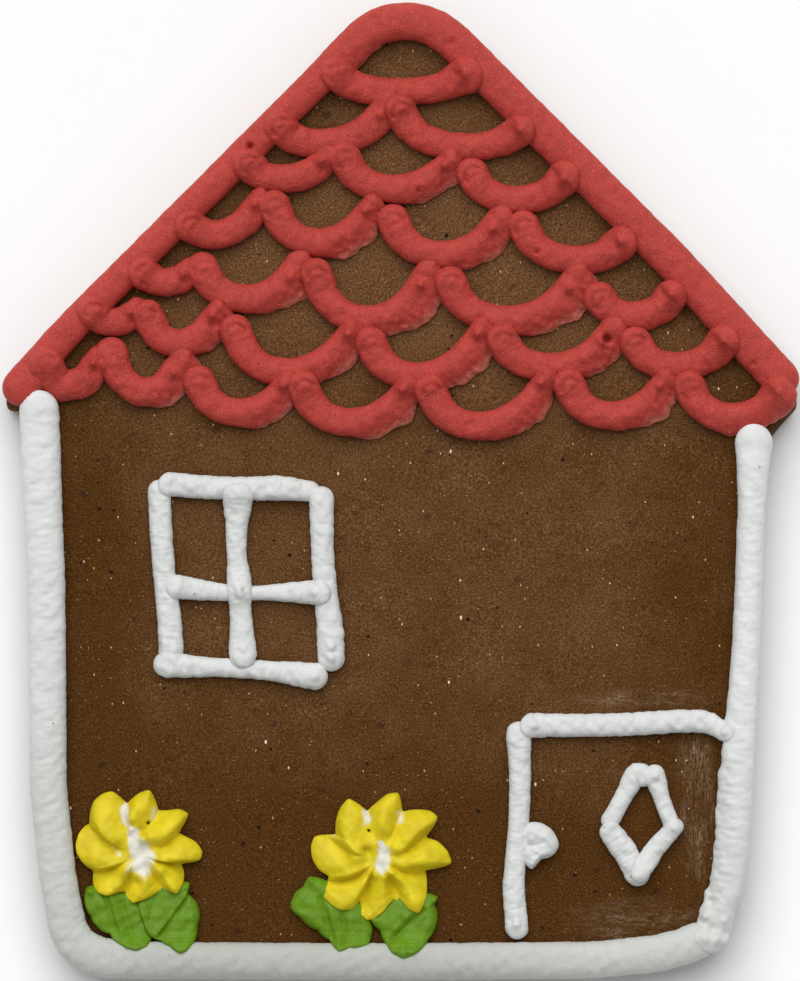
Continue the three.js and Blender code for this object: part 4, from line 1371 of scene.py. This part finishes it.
# %% The shapes of the leaves
# For each leaf its middle, and from there in mm the corners of its outline, and its lines as (x, y, x, y,
# height, width), where a groove has a negative height. The nub is at the first corner.
LEAVES = {
    "leaf_left_1": (
        (-35.4, -53.0),
        [(-3.6, 3.5), (-3.1, 0.0), (-2.2, -1.4), (-0.6, -2.3), (1.0, -3.7), (2.6, -4.3), (4.0, -3.8),
         (4.8, -2.4), (4.2, -0.4), (3.4, 1.4), (0.6, 3.0), (-2.2, 3.9)],
        [(-0.5, 2.4, 0.9, -2.4, 0.3, 0.35), (0.9, 1.6, 2.4, -3.2, -0.4, 0.5),
         (-1.3, 2.6, 0.1, -1.6, -0.35, 0.4)],
    ),
    "leaf_left_2": (
        (-27.9, -53.6),
        [(1.9, 4.7), (1.6, 3.3), (2.7, 2.2), (2.8, -0.7), (2.1, -3.1), (0.75, -4.1), (-0.6, -3.2),
         (-1.8, -2.5), (-3.0, -2.0), (-4.0, 0.0), (-4.6, 2.4), (-3.1, 4.3), (-0.6, 4.9)],
        [(1.2, 3.0, -2.2, -1.6, 0.3, 0.25), (1.5, 2.6, -1.8, -1.9, -0.35, 0.3),
         (-2.4, 3.0, -3.2, 0.2, -0.3, 0.6)],
    ),
    "leaf_right_1": (
        (-7.9, -53.4),
        [(-3.3, 5.3), (-4.0, 4.0), (-5.0, 3.3), (-5.6, 1.9), (-5.5, 1.1), (-4.3, 0.1), (-2.2, -1.4),
         (-0.7, -2.6), (0.5, -4.0), (1.8, -3.5), (4.2, -3.1), (4.7, -1.6), (4.1, 0.6), (2.5, 2.4),
         (0.0, 4.0)],
        [(-1.9, 2.6, -0.3, -2.4, -0.45, 0.4), (-0.8, 1.4, 0.5, -2.8, 0.25, 0.35),
         (0.9, 0.6, 1.4, -3.0, -0.35, 0.4)],
    ),
    "leaf_right_2": (
        (0.8, -54.3),
        [(4.2, 3.6), (3.7, 2.7), (4.1, 1.4), (3.9, 0.0), (2.9, -1.7), (1.6, -3.2), (0.0, -4.0), (-1.3, -3.5),
         (-2.2, -2.4), (-3.1, -0.6), (-4.3, 0.9), (-2.5, 2.7), (0.0, 3.9), (2.6, 4.2)],
        [(2.2, 2.0, -1.7, -1.8, -0.5, 0.4), (1.4, 2.2, -2.4, -1.4, 0.2, 0.4)],
    ),
}
print("the outlines of the leaves have", [len(corners) for _, corners, _ in LEAVES.values()], "corners")

# %% Piping the leaves
LEAF_HEIGHT = 1.9
LEAF_FALL = 0.2  # the share of its height that a leaf loses towards its rim
LEAF_NUB = (0.5, 0.5)  # how high and how wide the nub is, in mm


def pipe_leaf(node, middle, corners, lines, seed):
    """Lays one leaf of the table above."""
    def height_at(offset, size):
        """The leaf falls off towards its rim, and carries its lines and the nub."""
        nub = lump(*(0.9 * np.array(corners[0])), *LEAF_NUB)(offset)
        uneven = 0.05 * unevenness(offset, 1.6, seed) + nub
        return LEAF_HEIGHT * (1 - LEAF_FALL * size**2) + lined(offset, lines) + uneven

    rings = mound_rings(np.array(middle), outline_through(corners, softness=1.4), height_at, fullness=8)
    lay_mound(f"piped_{node}", rings, GREEN_ICING, "green_icing", node, **plain_fields(rings, 0.0))


for number, (node, leaf) in enumerate(LEAVES.items()):
    pipe_leaf(node, *leaf, seed=400 + 10 * number)
print("piped", len(LEAVES), "leaves")

# %% [markdown]
# ## Flowers
# A drop flower is one squeeze and one twist of a star-shaped tip: eight petals in a ring, each with a sharp
# ridge and a broad smooth face, and a rough middle. Yellow and white icing ran together in the bag, so the
# middle is streaked with white. The flower is one mound. Its relief is read round the ring: at every bearing
# the surface lies between the ridge of one petal and the valley that follows it. Ridges and valleys bend
# with the twist, so their bearings change from the middle outwards.

# %% The relief of a flower
PETAL_HEIGHT = 3.2
INNER, OUTER = 2.0, 8.0  # mm from the middle at which the first and last bearing of a ridge hold
VALLEY = 2.3  # mm that a valley lies below the ridges
RIDGE_ROUND = 0.15  # how round a ridge is, as a share of the way to the valley
FACE_BULGE = 1.35  # over 1, a petal's faces bulge
TILT = 0.12  # how much the flower leans down the house
LEAST_WIDTH = 0.05  # radians: petals are never narrower than this


def bent(bearings_deg, distance):
    """The bearing of a bent line: a parabola over the distance, through its inner, middle and outer one."""
    inner, middle, outer = np.radians(bearings_deg)
    share = np.clip((distance - INNER) / (OUTER - INNER), 0, 1)
    ends = inner * (1 - share) * (1 - 2 * share) + outer * share * (2 * share - 1)
    return ends + middle * 4 * share * (1 - share)


def turned(angle):
    """The same angle between -180 and 180 degrees."""
    return (angle + np.pi) % (2 * np.pi) - np.pi


def petal_relief(offset, ridges, valleys):
    """The depth under the ridges: 0 on a ridge, 1 in a valley, and eased between the two around a point."""
    distance = np.linalg.norm(offset, axis=-1)
    bearing = np.arctan2(offset[..., 1], offset[..., 0])
    depth = np.ones(distance.shape)
    for number, ridge in enumerate(ridges):
        crest = bent(ridge, distance)
        for valley in (valleys[number - 1], valleys[number]):
            away = turned(bearing - crest)
            width = turned(bent(valley, distance) - crest)
            share = np.abs(away) / np.maximum(np.abs(width), LEAST_WIDTH)
            share = np.where(away * width >= 0, share, 2.0)
            fallen = (np.sqrt(share**2 + RIDGE_ROUND**2) - RIDGE_ROUND) ** FACE_BULGE
            depth = np.where(share <= 1, np.minimum(depth, fallen), depth)
    return depth


print("a line bent over 0, 30 and 90 degrees ends at", np.degrees(bent((0, 30, 90), OUTER)).round())

# %% The shapes of the flowers
# The middle of each flower. For each petal, clockwise: the three bearings of its ridge, its outline between
# the valley before and its tip, and its tip, both as (bearing, distance). For each valley after a petal: its
# three bearings and how far out its notch is. White streaks are (x, y, x, y, half width, strength), lumps
# (x, y, height, radius). All in mm and degrees.
FLOWERS = {
    "flower_left": {
        "middle": (-32.54, -44.88),
        "petals": [
            ((168, 152, 134), [(142, 7.6), (132, 8.3), (122, 8.4)], (113, 8.1)),
            ((107, 98, 80), [(97, 6.5), (89, 7.2)], (79, 7.8)),
            ((30, 30, 36), [(53, 6.3), (45, 7.4)], (36, 7.9)),
            ((-26, -14, -6), [(16, 6.3), (8, 7.4), (-1, 8.1)], (-9, 7.9)),
            ((-41, -42, -48), [(-25, 6.4), (-36, 7.0)], (-48, 7.3)),
            ((-78, -84, -96), [(-72, 5.9), (-88, 6.3)], (-96, 6.6)),
            ((-116, -118, -124), [(-117, 5.9), (-124, 6.8), (-134, 7.2), (-143, 7.0)], (-150, 6.5)),
            ((-146, -156, -166), [(-165, 6.9), (-177, 7.6), (175, 7.8), (164, 7.7)], (155, 7.3)),
        ],
        "valleys": [
            ((120, 109, 103), 6.0), ((70, 62, 62.5), 5.6), ((0, 19, 24), 5.5), ((-31, -20, -16.5), 5.6),
            ((-60, -57, -56), 5.5), ((-108, -108, -108), 5.3), ((-138, -149, -156), 6.1),
            ((176, 160, 151), 6.9),
        ],
        "white": [
            (-0.5, 2.4, -0.3, 0.4, 0.75, 1), (0.4, -0.2, 0.5, -1.8, 1.35, 1),
            (-1.6, 5.5, -1.4, 3.4, 0.9, 0.75), (2.1, 5.2, 1.7, 4.0, 0.9, 0.55),
            (-3.2, 0.8, -2.2, -0.5, 0.9, 0.5),
        ],
        "lumps": [
            (-1.0, 3.2, -0.6, 0.5), (0.8, 1.5, 0.8, 0.6), (3.0, -2.3, 0.6, 0.8), (-1.7, -2.3, 0.9, 0.9),
            (1.3, -3.7, 0.7, 0.9), (-2.4, 0.2, -0.6, 0.7), (2.1, 0.5, -0.6, 0.6), (-0.1, -4.0, -0.5, 0.6),
            (1.3, 3.5, -2.4, 0.16),
        ],
    },
    "flower_right": {
        "middle": (-2.29, -45.25),
        "petals": [
            ((176, 153, 119), [(143, 6.9), (131, 7.6)], (119.5, 8.0)),
            ((80, 87, 79), [(94, 6.4), (82, 7.6)], (73, 8.0)),
            ((9, 29, 32), [(50, 7.2), (40, 8.3)], (32, 8.6)),
            ((-38, -13, -6), [(12, 7.4), (1.5, 8.5)], (-8, 9.1)),
            ((-62, -50, -57), [(-33, 7.0), (-42, 7.8), (-51, 8.5)], (-57.5, 8.9)),
            ((-84, -87, -100), [(-81, 6.5), (-87, 7.3), (-95, 8.1)], (-101, 8.5)),
            ((-121, -118, -124), [(-124, 8.5), (-134, 8.8)], (-146, 8.8)),
            ((-140, -148, -164), [(-165, 7.9), (-175, 8.5), (174, 8.7)], (165, 8.5)),
        ],
        "valleys": [
            ((118, 106, 107), 5.5), ((56, 62, 62), 5.9), ((-8, 17, 19.6), 6.0), ((-48, -31, -20), 6.0),
            ((-76, -66, -72), 5.8), ((-110, -112, -113.5), 7.4), ((-127, -141, -155.5), 6.9),
            ((189, 172, 157), 6.0),
        ],
        "white": [
            (0.1, 1.4, 0.4, 0.4, 0.35, 1), (0.5, 0.1, 0.2, -1.6, 0.8, 1), (-1.8, 5.2, -1.7, 4.1, 0.8, 0.75),
            (2.5, 5.1, 2.5, 4.0, 0.9, 0.62), (-5.8, 2.3, -5.6, 2.1, 0.7, 0.5),
        ],
        "lumps": [
            (-3.1, -0.3, 1.0, 1.0), (-1.8, 0.4, -0.7, 0.5), (2.0, 0.6, 0.7, 0.7), (1.5, -2.3, 0.6, 0.45),
            (-0.6, -2.7, 0.7, 0.45), (0.6, -2.9, 0.6, 0.45), (1.3, 2.0, -0.5, 0.6), (-1.4, 2.9, -2.4, 0.14),
        ],
    },
}
print("the flowers have", [len(shape["petals"]) for shape in FLOWERS.values()], "petals")

# %% Piping the flowers
BASE_SHARE = 0.76  # the height of a flower's middle, as a share of its petals'
RIM_RISE, RIM_FALL = (0.24, 1.0, 4.2), (0.28, 4.5, 9.0)  # shares of that height, and between which mm
VALLEYS_FROM, VALLEYS_TO = 1.4, 4.6  # mm from the middle over which the valleys deepen
ROUGH, ROUGH_SIZE, ROUGH_TO, ROUGH_FROM = 0.1, 1.7, 3.8, 2.2  # mm: the unevenness of the middle


def streaked(offset, streaks):
    """How white the icing is: each streak's strength in its middle, falling off around it."""
    shares = [strength - 0.5 * beside(offset, *ends) / half for *ends, half, strength in streaks]
    return np.maximum(np.max(shares, axis=0), 0)


def flower_outline(petals, valleys):
    """The outline through the shoulders and tips of the petals and the notches between them."""
    rim = [spot for _, shoulders, tip in petals for spot in (*shoulders, tip)]
    rim += [(valley[-1], notch) for valley, notch in valleys]
    bearing, reach = np.radians([spot[0] for spot in rim]), np.array([spot[1] for spot in rim])
    corners = reach[:, None] * np.stack([np.cos(bearing), np.sin(bearing)], axis=1)
    return outline_through(corners, softness=1.6)


def pipe_flower(node, shape, seed):
    """Lays one flower of the table above, and streaks it with white."""
    middle = np.array(shape["middle"])
    ridges = [petal[0] for petal in shape["petals"]]
    valleys = [valley[0] for valley in shape["valleys"]]

    def height_at(offset, _size):
        """The petals' height, less their valleys, leaning down the house, with the lumps on it."""
        distance = np.linalg.norm(offset, axis=-1)
        rise, fall = stepped(RIM_RISE, distance), stepped(RIM_FALL, distance)
        deepening = smoothstep(VALLEYS_FROM, VALLEYS_TO, distance)
        depth = VALLEY * deepening * petal_relief(offset, ridges, valleys)
        height = PETAL_HEIGHT * (BASE_SHARE + rise - fall) - depth + TILT * offset[..., 1]
        height = height + sum(lump(*one)(offset) for one in shape["lumps"])
        rough = ROUGH * unevenness(offset, ROUGH_SIZE, seed + 1) * smoothstep(ROUGH_TO, ROUGH_FROM, distance)
        return height + 0.03 * unevenness(offset, 1.4, seed) + rough

    outline_reach = flower_outline(shape["petals"], shape["valleys"])
    rings = mound_rings(middle, outline_reach, height_at, fullness=4)
    points = skin_of(rings)[0]
    white = streaked(points[:, :2] - middle, shape["white"])
    lay_mound(f"piped_{node}", rings, YELLOW_ICING, "yellow_icing", node, white=white)


for number, (node, shape) in enumerate(FLOWERS.items()):
    pipe_flower(node, shape, seed=500 + 100 * number)
print("piped", len(FLOWERS), "flowers")

# %% [markdown]
# ## The table, the light and the camera
# The cookie lies on a plain pale table under a wide soft light from beyond the ridge, with a bright even
# sky. The camera looks straight down from far enough away that the house keeps its shape.

# %% The table
TABLE_WIDTH = 3.0  # metres
TABLE_COLOURS = (0.96, 0.96, 0.96, 1), (0.98, 0.98, 0.98, 1)
CLOUDY = 40.0  # mm: the size of the faint clouds on the table


def lay_table():
    """A square table top under the cookie, as part of the stage."""
    edge = TABLE_WIDTH / 2
    mesh = bpy.data.meshes.new("table_top")
    corners = [(-edge, -edge, TABLE), (edge, -edge, TABLE), (edge, edge, TABLE), (-edge, edge, TABLE)]
    mesh.from_pydata(corners, [], [(0, 1, 2, 3)])
    material, tree, shader = start_finish("table")
    faint = blend(tree, grain(tree, CLOUDY), *TABLE_COLOURS)
    tree.links.new(faint, shader.inputs["Base Color"])
    shader.inputs["Roughness"].default_value = 0.9
    mesh.materials.append(material)
    table = bpy.data.objects.new("table_top", mesh)
    bpy.context.scene.collection.objects.link(table)


lay_table()
print("the table top is", TABLE_WIDTH, "m wide")

# %% The light
SKY_STRENGTH = 0.4
SUN_STRENGTH = 2.4
SUN_WIDTH = 60  # degrees: so wide a sun throws hardly any shadow
SUN_PLACE = (-0.1, 0.7, 1.0)  # the direction that it shines from


def hang_lights():
    """An even white sky and one wide soft sun."""
    world = bpy.data.worlds.new("pale_room")
    world.use_nodes = True
    world.node_tree.nodes["Background"].inputs["Color"].default_value = (1, 1, 1, 1)
    world.node_tree.nodes["Background"].inputs["Strength"].default_value = SKY_STRENGTH
    bpy.context.scene.world = world
    lamp = bpy.data.lights.new("soft_sun", "SUN")
    lamp.energy = SUN_STRENGTH
    lamp.angle = np.radians(SUN_WIDTH)
    sun = bpy.data.objects.new("soft_sun", lamp)
    sun.location = SUN_PLACE
    sun.rotation_mode = "QUATERNION"
    sun.rotation_quaternion = sun.location.normalized().to_track_quat("Z", "Y")
    bpy.context.scene.collection.objects.link(sun)


hang_lights()
print("the light comes from", SUN_PLACE)

# %% The camera
VIEW_HEIGHT = 0.1226  # metres of biscuit from the top to the bottom of the view
CAMERA_HEIGHT = 1.2
FRAMING = (0.0002, 0.0001)  # metres: where the middle of the view is on the cookie


def set_camera():
    """A camera straight above, with a long lens whose view is VIEW_HEIGHT tall on the biscuit."""
    lens = bpy.data.cameras.new("overhead")
    lens.lens = lens.sensor_width * (CAMERA_HEIGHT - SOLE * MM) / VIEW_HEIGHT
    camera = bpy.data.objects.new("overhead", lens)
    camera.location = (*FRAMING, CAMERA_HEIGHT)
    bpy.context.scene.collection.objects.link(camera)
    bpy.context.scene.camera = camera
    bpy.context.scene.view_settings.view_transform = "Standard"
    return lens.lens


focal_length = set_camera()
print(f"the lens is {focal_length:.0f} mm long")

# %% [markdown]
# ## The finished cookie
# The biscuit becomes a piece last, because its surface carries where it is baked darker, where shade and
# light are painted on it, and where it is dusty and smeared. Each of these is a number at every point of its
# mesh, which the gingerbread finish reads.

# %% The bake and painted shade, the dust and the smears
# How much darker it is made, as (strength, where that starts, where it is full): below the roof and at the
# foot, in mm up the house, and at the rim, in shares of the way out from the heart. The rim is a real darker
# bake. The darkening towards the foot is painted shade where the light falls off. The paler roof is painted
# light that offsets the shade between the tiles.
BELOW_ROOF, AT_FOOT, AT_RIM = (0.55, 28, 5), (0.6, -15, -50), (0.5, 0.6, 0.95)
PALEST = -0.2  # the bake where none of these reaches
# Soft oval patches of a darker or paler bake, the darker one on the left partly painted shade, and of rubbed
# dust, as (x, y, x reach, y reach, strength).
BAKE_AND_SHADE_PATCHES = [(-37, -12, 8, 26, 0.22), (34, -10, 10, 16, 0.12), (23, -35, 15, 12, -0.18)]
DUST_ACROSS, DUST_DOWN = [(31, -26, 12, 1.4, 0.8), (30, -54, 12, 4, 0.6)], [(37.2, -38, 3, 15, 0.85)]
SMEAR_REACH = (2.2, 1.4)  # mm
PATCH_CORE = 0.3  # the share of a patch's reach that has its full strength


def patches(points, ovals):
    """The sum of the patches, each its strength in its core and falling smoothly to 0 at its reach."""
    total = np.zeros(len(points))
    for x, y, x_reach, y_reach, strength in ovals:
        distance = np.hypot((points[:, 0] - x) / x_reach, (points[:, 1] - y) / y_reach)
        total += strength * smoothstep(1.0, PATCH_CORE, distance)
    return total


def baked_at(points, out_share):
    """The bake and painted shade at each point: the palest one, what the three bands add, and the patches."""
    up_the_house = points[:, 1]
    added = stepped(BELOW_ROOF, up_the_house) + stepped(AT_FOOT, up_the_house) + stepped(AT_RIM, out_share)
    return PALEST + added + patches(points, BAKE_AND_SHADE_PATCHES)


biscuit_skin = skin_of(biscuit)
crust = biscuit_skin[0]
out_share = np.linalg.norm(biscuit[..., :2] - HEART, axis=-1) / np.linalg.norm(outline - HEART, axis=-1)
baked = baked_at(crust, np.append(out_share, [0, 0]))
smear = patches(crust, [(x, y, *SMEAR_REACH, strength) for x, y, strength in smears])
print(f"the bake runs from {baked.min():.2f} to {baked.max():.2f}")

# %% The biscuit as a piece
make_piece(
    "baked_biscuit", biscuit_skin, GINGERBREAD, "gingerbread", "biscuit",
    baked=baked, dust_across=patches(crust, DUST_ACROSS), dust_down=patches(crust, DUST_DOWN), smear=smear,
)
print("the biscuit has", len(crust), "points and", len(smears), "smears beside the tiles")
